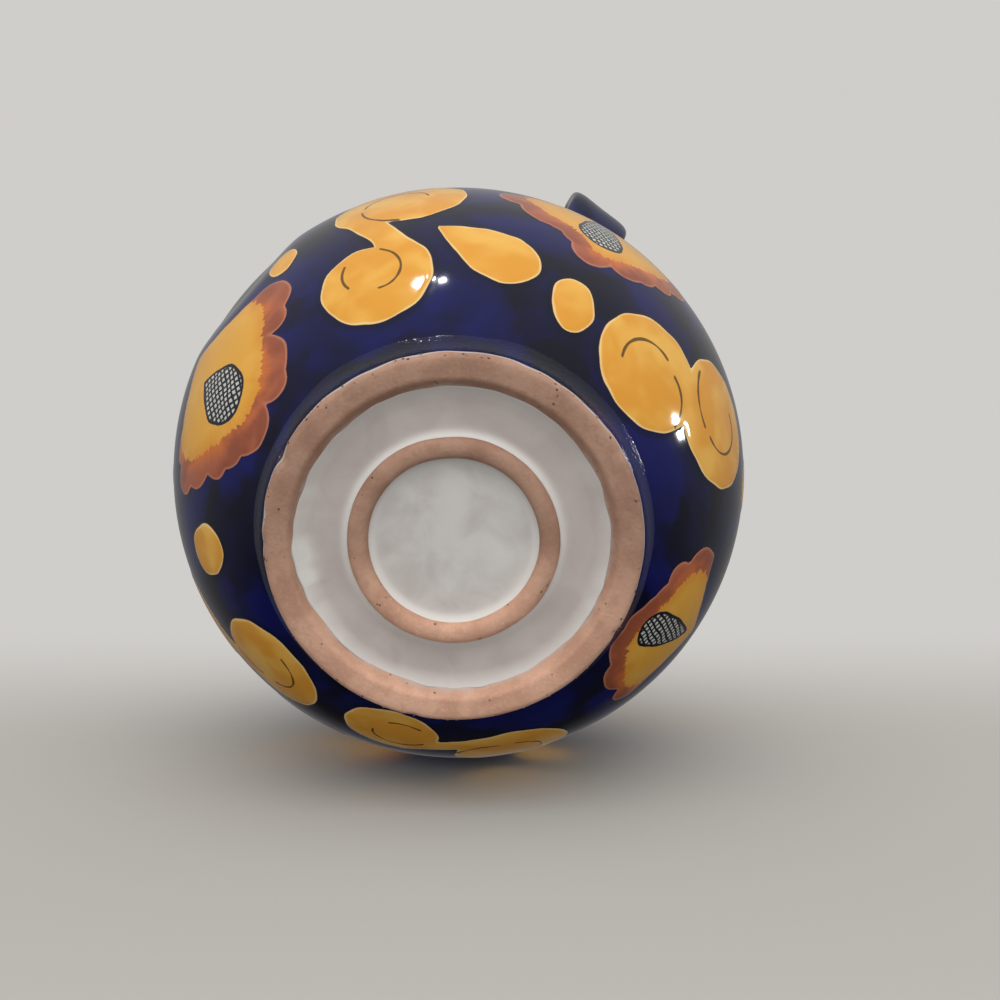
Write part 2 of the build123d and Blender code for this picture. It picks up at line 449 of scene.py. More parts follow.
@dataclass(frozen=True)
class BareClay:
    """Bare fired earthenware: pink-brown, mottled and gritty, with glaze along its edges.

    Its colour is painted lighter on one side of the foot and darker on the other, as painted light and shade.
    """

    pink: Colour = (0.63, 0.375, 0.265)
    brown: Colour = (0.49, 0.27, 0.185)
    chalk: Colour = (0.70, 0.47, 0.36)
    grit: Colour = (0.06, 0.040, 0.032)
    washed: Colour = (0.60, 0.50, 0.455)
    rim_line: Colour = (0.62, 0.56, 0.55)
    rough: float = 0.86
    mottle: Mottle = Mottle(16.0, 0.36, 0.60, detail=4.0, twist=0.3)
    flecks: Mottle = Mottle(3.2, 0.46, 0.70, 0.6, detail=3.0, twist=0.2, pattern=9.0)
    bloom: Mottle = Mottle(1.3, 0.50, 0.80, 0.35, pattern=4.0)
    specks: Specks = Specks(2.3, 0.14, 0.22, Mottle(6.0, 0.58, 0.66, 0.85, detail=1.0, pattern=7.0))
    grain: Relief = Relief(1.1, 0.26, 0.75, 3.0)
    painted_lit_side: Triple = (0.848, -0.530, 0.0)
    painted_light_tones: Span = (0.77, 1.26)
    wash: Mottle = Mottle(12.0, detail=3.0, twist=0.4, pattern=8.0)

    def _clay(self, wire: Wiring, place: Socket) -> Socket:
        """The clay's own colour, without its edges."""
        colour = wire.mix(wire.patches(place, self.mottle), self.brown, self.pink)
        colour = wire.mix(wire.patches(place, self.flecks), colour, self.brown)
        colour = wire.mix(wire.patches(place, self.bloom), colour, self.chalk)
        # painted light and shade: the clay is made lighter towards one side of the foot and darker away from
        # it
        side = wire.dot(wire.vector("NORMALIZE", place), self.painted_lit_side)
        colour = wire.scaled(colour, wire.remap(side, -0.2, 0.95, *self.painted_light_tones))
        return wire.mix(wire.specks(place, self.specks), colour, self.grit)

    def plain(self, name: str) -> Material:
        """Bare clay all over."""
        finish = Finish(name, self.rough)
        finish.colour(self._clay(finish.wire, finish.place))
        finish.bump(self.grain)
        return finish.material

    def glazed_outside(self, glaze: CobaltGlaze) -> Material:
        """Clay whose outer wall is glazed, with painted shade darkening its inner slope and white glaze
        washed thinly down it.

        The piece's "coat" attribute counts millimetres past the glaze's edge, and "slope" is 1 on the slope.
        """
        finish = Finish("foot_clay_and_glaze", self.rough)
        wire = finish.wire
        slope = wire.attribute("slope")
        # painted shade: the ring's inner slope is darkened towards brown all round
        clay = wire.mix(wire.times(slope, 0.45), self._clay(wire, finish.place), self.brown)
        wash = wire.plus(slope, wire.times(wire.noise(finish.place, self.wash), 1.5))
        clay = wire.mix(wire.remap(wash, 1.15, 1.75, 0.0, 0.8), clay, self.washed)
        coat = wire.attribute("coat")
        colour = wire.mix(wire.step(coat, 0.12), clay, glaze.blue.colour(wire, finish.place))
        line = wire.times(wire.band(coat, -0.45, 0.30, 0.2), 0.75)
        finish.colour(wire.mix(line, colour, self.rim_line))
        finish.roughness(wire.remap(coat, -0.3, 0.3, self.rough, glaze.gloss))
        finish.bump(self.grain)
        return finish.material

    def grains(self, name: str, mottle: Mottle, rough: float) -> Material:
        """The finish of loose grains of grit, dark and brown by a pattern."""
        finish = Finish(name, rough)
        finish.colour(finish.wire.mix(finish.wire.patches(finish.place, mottle), self.grit, self.brown))
        return finish.material


@dataclass(frozen=True)
class WhiteGlaze:
    """White tin glaze, thick and white in the corners, thin and mauve-grey where it was wiped."""

    white: Colour = (0.76, 0.745, 0.725)
    grey: Colour = (0.60, 0.565, 0.545)
    mauve: Colour = (0.50, 0.40, 0.385)
    thin: Colour = (0.53, 0.455, 0.43)
    thick: Colour = (0.84, 0.825, 0.80)
    speck: Colour = (0.10, 0.075, 0.06)
    gloss: float = 0.22
    cloud: Mottle = Mottle(12.0, 0.25, 0.75, detail=3.0, twist=0.6)
    wiped: Mottle = Mottle(11.0, 0.50, 0.78, 0.45, detail=3.0, twist=0.6, pattern=2.0)
    specks: Specks = Specks(7.0, 0.035, 0.06, Mottle(15.0, 0.62, 0.68, detail=1.0, pattern=6.0))
    waves: Relief = Relief(10.0, 0.35, 0.5)

    def dressed(self, name: str, thinness: float = 0.0) -> Material:
        """The finish, with thick glaze where the piece's "pool" attribute is high.

        Args:
            name: the material's name.
            thinness: how much of the clay's tone shows through away from the pools.

        Returns:
            The material.
        """
        finish = Finish(name, self.gloss)
        wire = finish.wire
        pool = wire.attribute("pool")
        colour = wire.mix(wire.patches(finish.place, self.cloud), self.grey, self.white)
        colour = wire.mix(thinness, colour, self.thin)
        wiped = wire.times(wire.patches(finish.place, self.wiped), wire.minus(1.0, pool))
        colour = wire.mix(wiped, colour, self.mauve)
        colour = wire.mix(wire.times(pool, 0.9), colour, self.thick)
        finish.colour(wire.mix(wire.specks(finish.place, self.specks), colour, self.speck))
        finish.bump(self.waves)
        return finish.material


def add_object(name: str, data: bpy.types.ID) -> Piece:
    """Adds an object with that mesh, lamp or camera to the scene."""
    made = bpy.data.objects.new(name, data)
    bpy.context.scene.collection.objects.link(made)
    return made


def start_tree(name: str, inputs: dict[str, str]) -> tuple[Wiring, Any]:
    """Starts a Geometry Nodes tree.

    Args:
        name: the tree's name.
        inputs: each input's socket type, by the input's name.

    Returns:
        The tree's wiring, and the sockets of its inputs by name.
    """
    tree = bpy.data.node_groups.new(name, "GeometryNodeTree")
    for label, kind in inputs.items():
        tree.interface.new_socket(name=label, in_out="INPUT", socket_type=kind)
    tree.interface.new_socket(name="Geometry", in_out="OUTPUT", socket_type="NodeSocketGeometry")
    wire = Wiring(tree)
    return wire, wire.node("NodeGroupInput").outputs


def end_tree(wire: Wiring, geometry: Socket, finish: Socket) -> Tree:
    """Ends a Geometry Nodes tree in real geometry with a material.

    Args:
        wire: the tree's wiring.
        geometry: what the tree has made.
        finish: the socket of the material.

    Returns:
        The tree.
    """
    real = wire.node("GeometryNodeRealizeInstances", {"Geometry": geometry})
    dressed = wire.node("GeometryNodeSetMaterial", {"Geometry": real.outputs[0], "Material": finish})
    wire.feed(wire.node("NodeGroupOutput").inputs[0], dressed.outputs[0])
    return wire.tree


def apply_nodes(piece: Piece, tree: Tree, given: dict[str, Any]) -> None:
    """Runs a Geometry Nodes tree on a piece and keeps the result as its plain mesh.

    Args:
        piece: the object, whose mesh is the tree's first input.
        tree: the node group.
        given: the values of the tree's other inputs, by name.
    """
    modifier = piece.modifiers.new(tree.name, "NODES")
    modifier.node_group = tree
    for item in tree.interface.items_tree:
        if item.in_out == "INPUT" and item.name in given:
            modifier[item.identifier] = given[item.name]
    bpy.context.view_layer.update()
    evaluated = piece.evaluated_get(bpy.context.evaluated_depsgraph_get())
    mesh = bpy.data.meshes.new_from_object(evaluated)
    piece.modifiers.clear()
    old = piece.data
    piece.data = mesh
    mesh.name = piece.name
    bpy.data.meshes.remove(old)


@dataclass(frozen=True)
class Throw:
    """How a thrown wall strays from true: how far in and out, over what length, and which stray."""

    stray: float = 0.0
    length: float = 60.0
    seed: float = 0.0


class TurnedForm:
    """A piece turned on the wheel: a Geometry Nodes tree spins a profile round the jar's axis.

    A profile is a list of radii and heights along a section, open or closed.
    """

    _tree: Tree | None = None

    @classmethod
    def tree(cls) -> Tree:
        """The tree, which is built once and shared by all turned pieces."""
        if cls._tree is None:
            cls._tree = cls._build_tree()
        return cls._tree

    @staticmethod
    def _build_tree() -> Tree:
        """Wires the tree: a grid whose rows follow the profile and whose columns go round the axis."""
        inputs = {
            "Profile": "NodeSocketGeometry",
            "Columns": "NodeSocketInt",
            "Wobble": "NodeSocketFloat",
            "Wobble size": "NodeSocketFloat",
            "Seed": "NodeSocketFloat",
            "Finish": "NodeSocketMaterial",
        }
        wire, given = start_tree("turned_form", inputs)
        position = wire.node("GeometryNodeInputPosition").outputs[0]
        rows = wire.node("GeometryNodeAttributeDomainSize", {0: given["Profile"]}).outputs["Point Count"]
        columns = wire.plus(given["Columns"], 1.0)
        inputs = {"Size X": 1.0, "Size Y": 1.0, "Vertices X": rows, "Vertices Y": columns}
        grid = wire.node("GeometryNodeMeshGrid", inputs)
        flat = wire.node("ShaderNodeSeparateXYZ", {0: position})
        row = wire.math("ROUND", wire.times(wire.plus(flat.outputs[0], 0.5), wire.minus(rows, 1.0)))
        angle = wire.times(wire.plus(flat.outputs[1], 0.5), math.tau)
        inputs = {"Geometry": given["Profile"], "Value": position, "Index": row}
        outline = wire.node("GeometryNodeSampleIndex", inputs, data_type="FLOAT_VECTOR", domain="POINT")
        found = wire.node("ShaderNodeSeparateXYZ", {0: outline.outputs[0]})
        heading = {0: wire.math("COSINE", angle), 1: wire.math("SINE", angle)}
        outward = wire.node("ShaderNodeCombineXYZ", heading).outputs[0]
        lifted = wire.node("ShaderNodeCombineXYZ", {2: found.outputs[2]}).outputs[0]
        spun = wire.vector("ADD", wire.scaled(outward, found.outputs[0]), lifted)
        inputs = {"Geometry": grid.outputs["Mesh"], "Name": ROW_NOTE, "Value": row}
        kept = wire.node("GeometryNodeStoreNamedAttribute", inputs, data_type="FLOAT", domain="POINT")
        placed = wire.node("GeometryNodeSetPosition", {"Geometry": kept.outputs[0], "Position": spun})
        inputs = {"Geometry": placed.outputs[0], "Distance": SEAM_GAP * MM}
        closed = wire.node("GeometryNodeMergeByDistance", inputs)
        inputs = {
            "Vector": position,
            "W": given["Seed"],
            "Scale": wire.math("DIVIDE", 1.0, given["Wobble size"]),
            "Detail": 1.0,
        }
        noise = wire.node("ShaderNodeTexNoise", inputs, noise_dimensions="4D").outputs[0]
        sway = wire.times(wire.minus(noise, NOISE_MEAN), given["Wobble"])
        level = wire.vector("NORMALIZE", wire.vector("MULTIPLY", position, (1.0, 1.0, 0.0)))
        inputs = {"Geometry": closed.outputs[0], "Offset": wire.scaled(level, sway)}
        strayed = wire.node("GeometryNodeSetPosition", inputs)
        smooth = wire.node("GeometryNodeSetShadeSmooth", {0: strayed.outputs[0]})
        return end_tree(wire, smooth.outputs[0], given["Finish"])

    @classmethod
    def make(
        cls, name: str, profile: Sequence[Point], finish: Material, columns: int, throw: Throw = Throw()
    ) -> Piece:
        """Turns one piece.

        Args:
            name: the piece's name.
            profile: radii and heights; a closed section repeats its first point.
            finish: the material.
            columns: steps round the axis.
            throw: how the wall strays from true.

        Returns:
            The piece, with a plain mesh.
        """
        points = [(radius * MM, 0.0, height * MM) for radius, height in profile]
        mesh = bpy.data.meshes.new(name + "_profile")
        mesh.from_pydata(points, [(i, i + 1) for i in range(len(points) - 1)], [])
        piece = add_object(name, mesh)
        given = {
            "Columns": columns,
            "Wobble": throw.stray * MM,
            "Wobble size": throw.length * MM,
            "Seed": throw.seed,
            "Finish": finish,
        }
        apply_nodes(piece, cls.tree(), given)
        return piece


def places(piece: Piece) -> Array:
    """A piece's points in millimetres, one row each."""
    flat = np.zeros(len(piece.data.vertices) * 3)
    piece.data.vertices.foreach_get("co", flat)
    return flat.reshape(-1, 3) / MM


def put(piece: Piece, points: Array) -> None:
    """Moves a piece's points to new places in millimetres."""
    piece.data.vertices.foreach_set("co", (points * MM).ravel())
    piece.data.update()


def note(piece: Piece, name: str, values: Array) -> None:
    """Writes one number or one vector for each of a piece's points."""
    is_vector = values.ndim == 2
    kept = piece.data.attributes.new(name, "FLOAT_VECTOR" if is_vector else "FLOAT", "POINT")
    kept.data.foreach_set("vector" if is_vector else "value", values.astype(np.float32).ravel())


def row_numbers(piece: Piece) -> Array:
    """The profile row that each of a turned piece's points lies on."""
    values = np.zeros(len(piece.data.vertices), np.float32)
    piece.data.attributes[ROW_NOTE].data.foreach_get("value", values)
    return np.rint(values).astype(int)


def join(piece: Piece, slot: Slot, *nodes: str) -> None:
    """Sets a finished piece on the jar in place of its solids and reports it."""
    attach(piece, BODY)
    if nodes:
        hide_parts(*nodes)
    stands_for = ", ".join(nodes) or "nothing"
    log.info("%s: %d points, stands for %s", piece.name, len(piece.data.vertices), stands_for)


def arc(centre: Point, radius: float, start: float, end: float, step: float) -> list[Point]:
    """Points along an arc, at most one step apart.

    Args:
        centre: the arc's centre.
        radius: its radius.
        start: the first angle in degrees.
        end: the last angle in degrees.
        step: the longest distance between points.

    Returns:
        The points, with both ends.
    """
    count = max(2, math.ceil(abs(math.radians(end - start)) * radius / step))
    angles = [math.radians(start + (end - start) * i / count) for i in range(count + 1)]
    return [(centre[0] + radius * math.cos(a), centre[1] + radius * math.sin(a)) for a in angles]


def straight(start: Point, end: Point, step: float) -> list[Point]:
    """Points along a line, at most one step apart, with both ends."""
    count = max(1, math.ceil(math.dist(start, end) / step))
    shares = [i / count for i in range(count + 1)]
    return [(start[0] + (end[0] - start[0]) * s, start[1] + (end[1] - start[1]) * s) for s in shares]


def curve(start: Point, pull: Point, end: Point, count: int) -> list[Point]:
    """Points along a smooth curve that is drawn towards a third point, with both ends."""
    found = []
    for i in range(count + 1):
        t = i / count
        weights = ((1 - t) ** 2, 2 * t * (1 - t), t * t)
        x, z = (sum(w * p[axis] for w, p in zip(weights, (start, pull, end))) for axis in (0, 1))
        found.append((x, z))
    return found


def chained(*runs: Sequence[Point]) -> list[Point]:
    """Several runs of points as one, without the points that two runs share."""
    whole: list[Point] = []
    for run in runs:
        for point in run:
            if not whole or math.dist(whole[-1], point) > SAME_PLACE:
                whole.append(point)
    return whole


def eased(line: Sequence[Point], place: int, reach: int, passes: int) -> list[Point]:
    """A line smoothed, in some passes, over a reach of points on each side of the one with that number."""
    points = np.array(line)
    low, high = max(place - reach, 1), min(place + reach, len(points) - 1)
    for _ in range(passes):
        beside = points[low - 1 : high - 1] + points[low + 1 : high + 1]
        points[low:high] = 0.5 * points[low:high] + 0.25 * beside
    return [(float(x), float(z)) for x, z in points]


def polar(points: Array) -> tuple[Array, Array]:
    """Each point's angle round the axis, in radians, and its distance from the axis."""
    return np.arctan2(points[:, 1], points[:, 0]), np.hypot(points[:, 0], points[:, 1])


def move_out(points: Array, angles: Array, distance: Array) -> None:
    """Moves points away from the axis, along their angles."""
    points[:, 0] += distance * np.cos(angles)
    points[:, 1] += distance * np.sin(angles)


def apart(angles: Array, turn: float) -> Array:
    """How far angles lie from a turn that is given in degrees, the short way round."""
    return np.angle(np.exp(1j * (angles - math.radians(turn))))


def bell(values: Array, reach: float) -> Array:
    """One at zero, which falls off smoothly over a reach on both sides."""
    return np.exp(-((values / reach) ** 2))


def held(values: Array) -> Array:
    """Values held between 0 and 1."""
    return np.clip(values, 0.0, 1.0)


@dataclass(frozen=True)
class Waver:
    """An uneven line round the axis: its height, which line, and the fewest and most waves that it has."""

    height: float
    seed: int
    slowest: int
    fastest: int
    falloff: float = 0.7

    def at(self, angles: Array) -> Array:
        """How far the line lies above or below its mean at angles in radians, mostly within its height."""
        draw = np.random.default_rng(self.seed)
        total = np.zeros_like(angles)
        weight = 0.0
        for count in range(self.slowest, self.fastest + 1):
            share = (self.slowest / count) ** self.falloff
            total += share * np.sin(count * angles + draw.uniform(0.0, math.tau))
            weight += share**2
        return self.height * (total / math.sqrt(2.0 * weight))


@dataclass(frozen=True)
class JarForm:
    """The sizes that the pieces share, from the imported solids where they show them."""

    belly_radius: float
    belly_height: float
    neck_top: float
    lip_top: float
    lip_radius: float
    foot_flare: float
    recess: float
    ring_outer: float
    ring_low: float
    glaze_level: float
    handle_reach: float
    shoulder_arc: float = 92.0
    neck_waist: float = 52.5
    neck_arc: float = 16.0
    neck_wall: float = 5.5
    neck_blend: float = 9.0
    blend_passes: int = 50
    wall: float = 7.0
    glaze: float = 0.6
    floor: float = 15.0
    ring_inner: float = 26.2
    slope_foot: float = 46.5
    foot_columns: int = 360
    throw: Throw = Throw(0.7, 70.0, 3.0)

    @classmethod
    def from_frame(cls) -> "JarForm":
        """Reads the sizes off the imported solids."""
        dome, lip, foot = (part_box(name)[1] / MM for name in ("shoulder_dome", "rim_lip", "foot_ring"))
        ring_low, ring_high = (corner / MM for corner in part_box("inner_foot_ring"))
        return cls(
            belly_radius=dome.x,
            belly_height=foot.z + math.sqrt(dome.x**2 - foot.x**2),
            neck_top=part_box("rim_lip")[0].z / MM,
            lip_top=lip.z,
            lip_radius=lip.x,
            foot_flare=foot.x,
            recess=ring_high.z,
            ring_outer=ring_high.x,
            ring_low=ring_low.z,
            glaze_level=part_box("base_glaze_ring")[0].z / MM,
            handle_reach=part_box("handle_right")[1].x / MM,
        )

    @property
    def shoulder_centre(self) -> Point:
        """The centre of the shoulder's arc."""
        return (self.belly_radius - self.shoulder_arc, self.belly_height)

    @property
    def mouth(self) -> float:
        """The radius of the mouth."""
        return self.neck_waist - self.neck_wall

    @property
    def neck_centre(self) -> Point:
        """The centre of the neck's hollow arc."""
        run = self.neck_waist + self.neck_arc - self.shoulder_centre[0]
        rise = math.sqrt((self.shoulder_arc + self.neck_arc) ** 2 - run**2)
        return (self.neck_waist + self.neck_arc, self.belly_height + rise)

    @property
    def seam_angle(self) -> float:
        """The angle, in degrees, at which the shoulder runs into the neck."""
        across = self.neck_centre[0] - self.shoulder_centre[0]
        return math.degrees(math.atan2(self.neck_centre[1] - self.belly_height, across))

    @property
    def neck_top_radius(self) -> float:
        """The neck's radius under the lip."""
        rise = self.neck_top - self.neck_centre[1]
        return self.neck_centre[0] - math.sqrt(self.neck_arc**2 - rise**2)

    def outside(self, step: float, low_radius: float) -> list[Point]:
        """The outside from the lip down to a radius under the belly.

        Args:
            step: the distance between points.
            low_radius: the radius at which the line ends.

        Returns:
            Radii and heights.
        """
        rise = self.neck_top - self.neck_centre[1]
        top_angle = math.degrees(math.atan2(rise, self.neck_top_radius - self.neck_centre[0]))
        low_angle = -math.degrees(math.acos(low_radius / self.belly_radius))
        neck = arc(self.neck_centre, self.neck_arc, top_angle, 180.0 + self.seam_angle, step)
        line = chained(
            neck,
            arc(self.shoulder_centre, self.shoulder_arc, self.seam_angle, 0.0, step),
            arc((0.0, self.belly_height), self.belly_radius, 0.0, low_angle, step),
        )
        return eased(line, len(neck), round(self.neck_blend / step), self.blend_passes)

    def inside(self, coat: float, step: float) -> list[Point]:
        """The inside, under a coat of glaze, from the middle of the floor up to the top of the neck."""
        ball = self.belly_radius - self.wall - coat
        shoulder = self.shoulder_arc - self.wall - coat
        bore = self.mouth - coat
        floor = self.floor + coat
        floor_radius = math.sqrt(ball**2 - (self.belly_height - floor) ** 2)
        floor_angle = -math.degrees(math.acos(floor_radius / ball))
        bore_angle = math.degrees(math.acos((bore - self.shoulder_centre[0]) / shoulder))
        bore_low = self.belly_height + shoulder * math.sin(math.radians(bore_angle))
        return chained(
            straight((0.0, floor), (floor_radius, floor), step),
            arc((0.0, self.belly_height), ball, floor_angle, 0.0, step),
            arc(self.shoulder_centre, shoulder, 0.0, bore_angle, step),
            straight((bore, bore_low), (bore, self.neck_top), step),
        )


@dataclass(frozen=True)
class Spot:
    """A place on the belly: degrees round from +X, and degrees up from the belly's widest line."""

    turn: float
    climb: float

    def chart(self, rays: Array, radius: float) -> tuple[Array, Array]:
        """Lays the belly out flat about this spot.

        Args:
            rays: unit vectors from the belly's centre.
            radius: the belly's radius.

        Returns:
            How far each ray's point lies to the right of the spot and above it.
        """
        turn, climb = math.radians(self.turn), math.radians(self.climb)
        level = math.cos(climb)
        centre = np.array((level * math.cos(turn), level * math.sin(turn), math.sin(climb)))
        right = np.array((-math.sin(turn), math.cos(turn), 0.0))
        above = np.cross(centre, right)
        across, up = rays @ right, rays @ above
        reach = np.arccos(np.clip(rays @ centre, -1.0, 1.0))
        scale = radius * reach / np.maximum(np.hypot(across, up), TINY)
        return across * scale, up * scale


@dataclass
class Paint:
    """The painting as numbers on the wall's points: distances to its edges and lines.

    The rays are unit vectors from the belly's centre. The limits hold back the distances that are
    written, outside and inside an edge.
    """

    rays: Array
    radius: float
    outer_limit: float = 20.0
    inner_limit: float = 60.0
    thickness: float = 0.22
    edge_round: float = 1.2

    def __post_init__(self) -> None:
        """Starts with bare ground at every point."""
        count = len(self.rays)
        self.gold = np.full(count, -FAR)
        self.flower = np.full(count, -FAR)
        self.petal = np.full(count, -FAR)
        self.eye = np.full(count, -FAR)
        self.flower_place = np.zeros((count, 3))
        self.line_near = np.full(count, FAR)
        self.line_side = np.full(count, FAR)

    def draw_line(self, across: Array, up: Array, route: Sequence[Point]) -> None:
        """Adds one thin brush line.

        Args:
            across: each point's place to the right of the motif's middle.
            up: each point's place above it.
            route: the line's points.
        """
        for (x0, y0), (x1, y1) in zip(route, route[1:]):
            length = math.hypot(x1 - x0, y1 - y0)
            tx, ty = (x1 - x0) / length, (y1 - y0) / length
            along = np.clip((across - x0) * tx + (up - y0) * ty, 0.0, length)
            near = np.hypot(across - x0 - along * tx, up - y0 - along * ty)
            closer = near < self.line_near
            self.line_near[closer] = near[closer]
            self.line_side[closer] = ((up - y0) * tx - (across - x0) * ty)[closer]

    def write(self, piece: Piece) -> None:
        """Writes the numbers on the piece."""
        for name in ("gold", "flower", "petal", "eye"):
            note(piece, name, np.clip(getattr(self, name), -self.outer_limit, self.inner_limit))
        for name in ("line_near", "line_side"):
            note(piece, name, np.clip(getattr(self, name), -self.outer_limit, self.outer_limit))
        note(piece, "flower_place", self.flower_place)

    def relief(self) -> Array:
        """How thick the paint is at each point."""
        return self.thickness * held(np.maximum(self.gold, self.flower) / self.edge_round)


def hand(across: Array, up: Array, sway: float) -> Array:
    """The small unevenness of a hand-painted edge: slow waves that stray by the sway, and a fine one."""
    slow = np.sin(0.41 * across + 0.23 * up + 0.7) * np.cos(0.33 * up - 0.19 * across)
    fine = np.sin(0.93 * across - 0.71 * up)
    return sway * (slow + 0.12 * fine)


def oval(across: Array, up: Array, wide: float, high: float) -> Array:
    """How far points lie inside an oval with those half sizes."""
    share = np.hypot(across / wide, up / high)
    slope = np.hypot(across / wide**2, up / high**2)
    return np.where(slope > TINY, share * (1.0 - share) / np.maximum(slope, TINY), min(wide, high))


def turned(across: Array, up: Array, lean: float) -> tuple[Array, Array]:
    """Flat places seen from axes that lean by some degrees anticlockwise."""
    c, s = math.cos(math.radians(lean)), math.sin(math.radians(lean))
    return across * c + up * s, up * c - across * s


def teardrop(
    along: Array, aside: Array, round_end: float, length: float, swell: float, tip: float = 0.8
) -> Array:
    """How far points lie inside a teardrop.

    Args:
        along: places along its axis, from the middle of the round end towards the tip.
        aside: places to the side of the axis.
        round_end: the round end's radius.
        length: the distance from the round end's middle to the tip.
        swell: how far the flanks bulge.
        tip: the tip's radius.

    Returns:
        Distances, above zero inside.
    """
    aside = np.abs(aside)
    slant = (round_end - tip) / length
    lean = math.sqrt(1.0 - slant**2)
    where = lean * along - slant * aside
    flank = round_end - slant * along - lean * aside
    inside = np.where(where < 0.0, round_end - np.hypot(along, aside), flank)
    inside = np.where(where > lean * length, tip - np.hypot(along - length, aside), inside)
    return inside + swell * np.sin(held(along / length) * math.pi)


@dataclass(frozen=True)
class Sunflower:
    """A half sunflower with a peaked top, a scalloped fringe below it and a hatched, drop-shaped eye.

    The reaches give each scallop's distance from the middle, from the left shoulder round under
    the flower to the right one. The peak and the shoulder are heights of the top edge. Each scallop
    is a row of round dabs, given as shares of its reach and of the first dab's size.
    """

    spot: Spot
    reaches: tuple[float, ...]
    peak: float
    shoulder: float
    fringe: float
    eye_middle: Point
    eye_round: float
    eye_length: float
    hatch_lean: float
    eye_lean: float = 0.0
    eye_swell: float = 1.2
    eye_sway: float = 0.25
    edge_sway: float = 0.3
    first: float = 171.0
    last: float = 367.0
    dab: float = 9.0
    dab_row: tuple[Span, ...] = ((1.0, 1.0), (0.7, 1.2), (0.4, 1.2))

    def paint(self, paint: Paint) -> None:
        """Adds the flower to the painting."""
        across, up = self.spot.chart(paint.rays, paint.radius)
        angles = np.radians(np.linspace(self.first, self.last, len(self.reaches)))
        inside = np.minimum(self._scalloped(across, up, angles), self._below_top(across, up))
        inside = inside + hand(across, up, self.edge_sway)
        bearing = np.mod(np.arctan2(up, across) - math.pi / 2, math.tau) + math.pi / 2
        petal = np.interp(bearing, angles, self.reaches) - self.fringe - np.hypot(across, up)
        aside, along = turned(across - self.eye_middle[0], up - self.eye_middle[1], self.eye_lean)
        eye = teardrop(along, aside, self.eye_round, self.eye_length, self.eye_swell)
        hatched = np.stack((*turned(across, up, self.hatch_lean), np.zeros_like(across)), axis=1)
        nearer = inside > paint.flower
        paint.flower = np.maximum(paint.flower, inside)
        paint.petal = np.where(nearer, petal, paint.petal)
        paint.eye = np.where(nearer, eye + hand(across, up, self.eye_sway), paint.eye)
        paint.flower_place[nearer] = hatched[nearer]

    @property
    def half_width(self) -> float:
        """The flower's half width at its shoulders."""
        return 0.5 * (self.reaches[0] + self.reaches[-1])

    def _scalloped(self, across: Array, up: Array, angles: Array) -> Array:
        """How far points lie inside the flower's core or one of its scallops."""
        core_side = 0.8 * self.half_width - np.abs(across)
        inside = np.minimum(core_side, up + 0.2 * self.peak)
        for number, (angle, reach) in enumerate(zip(angles, self.reaches)):
            sway = math.sin(3.7 * number + 1.3 * self.peak)
            angle += math.radians(6.0) * sway
            dab = self.dab * (1.0 + 0.30 * math.sin(2.6 * number + self.peak))
            for share, swell in self.dab_row:
                x, y = (share * (reach - dab) * turn for turn in (math.cos(angle), math.sin(angle)))
                inside = np.maximum(inside, swell * dab - np.hypot(across - x, up - y))
        return inside

    def _below_top(self, across: Array, up: Array) -> Array:
        """How far points lie below the top edge: two hollow curves that meet in a point."""
        share = held(1.0 - np.abs(across) / self.half_width)
        rise = self.peak - self.shoulder
        slope = 2.0 * rise * share / self.half_width
        return (self.shoulder + rise * share**2 - up) / np.hypot(1.0, slope)


@dataclass(frozen=True)
class CurlLine:
    """A dark line inside a scroll's head: sweeps in degrees from where the band joins, and radii."""

    sweep: Span
    radius: Span
    steps: int = 16

    def route(self, middle: Point, join_angle: float, way: int) -> list[Point]:
        """The line's points.

        Args:
            middle: the head's middle.
            join_angle: the angle, in radians, at which the band joins the head.
            way: 1 or -1, which way the scroll turns.

        Returns:
            Places on the motif's chart.
        """
        found = []
        for i in range(self.steps + 1):
            t = i / self.steps
            angle = join_angle - way * math.radians(self.sweep[0] + (self.sweep[1] - self.sweep[0]) * t)
            radius = self.radius[0] + (self.radius[1] - self.radius[0]) * t
            found.append((middle[0] + radius * math.cos(angle), middle[1] + radius * math.sin(angle)))
        return found


@dataclass(frozen=True)
class Head:
    """A scroll's round head: its middle, and its radius where the band joins, half round and at the end."""

    middle: Point
    radii: Triple
    lines: tuple[CurlLine, ...] = ()
    full_sweep: float = 325.0

    def inside(self, across: Array, up: Array, join_angle: float, way: int) -> Array:
        """How far points lie inside the head, whose outline curls in from where the band joins.

        Args:
            across: places to the right of the scroll's middle.
            up: places above it.
            join_angle: the angle, in radians, at which the band joins.
            way: 1 or -1, which way the scroll turns.

        Returns:
            Distances, above zero inside.
        """
        x, y = across - self.middle[0], up - self.middle[1]
        sweep = np.mod(way * (join_angle - np.arctan2(y, x)), math.tau)
        share = np.minimum(sweep / math.radians(self.full_sweep), 1.0)
        first, half, last = self.radii
        bend = 2.0 * (first + last - 2.0 * half)
        radius = first + (last - first - bend) * share + bend * share**2
        return radius - np.hypot(x, y)

    def routes(self, join_angle: float, way: int) -> list[list[Point]]:
        """The points of the head's dark lines."""
        return [line.route(self.middle, join_angle, way) for line in self.lines]


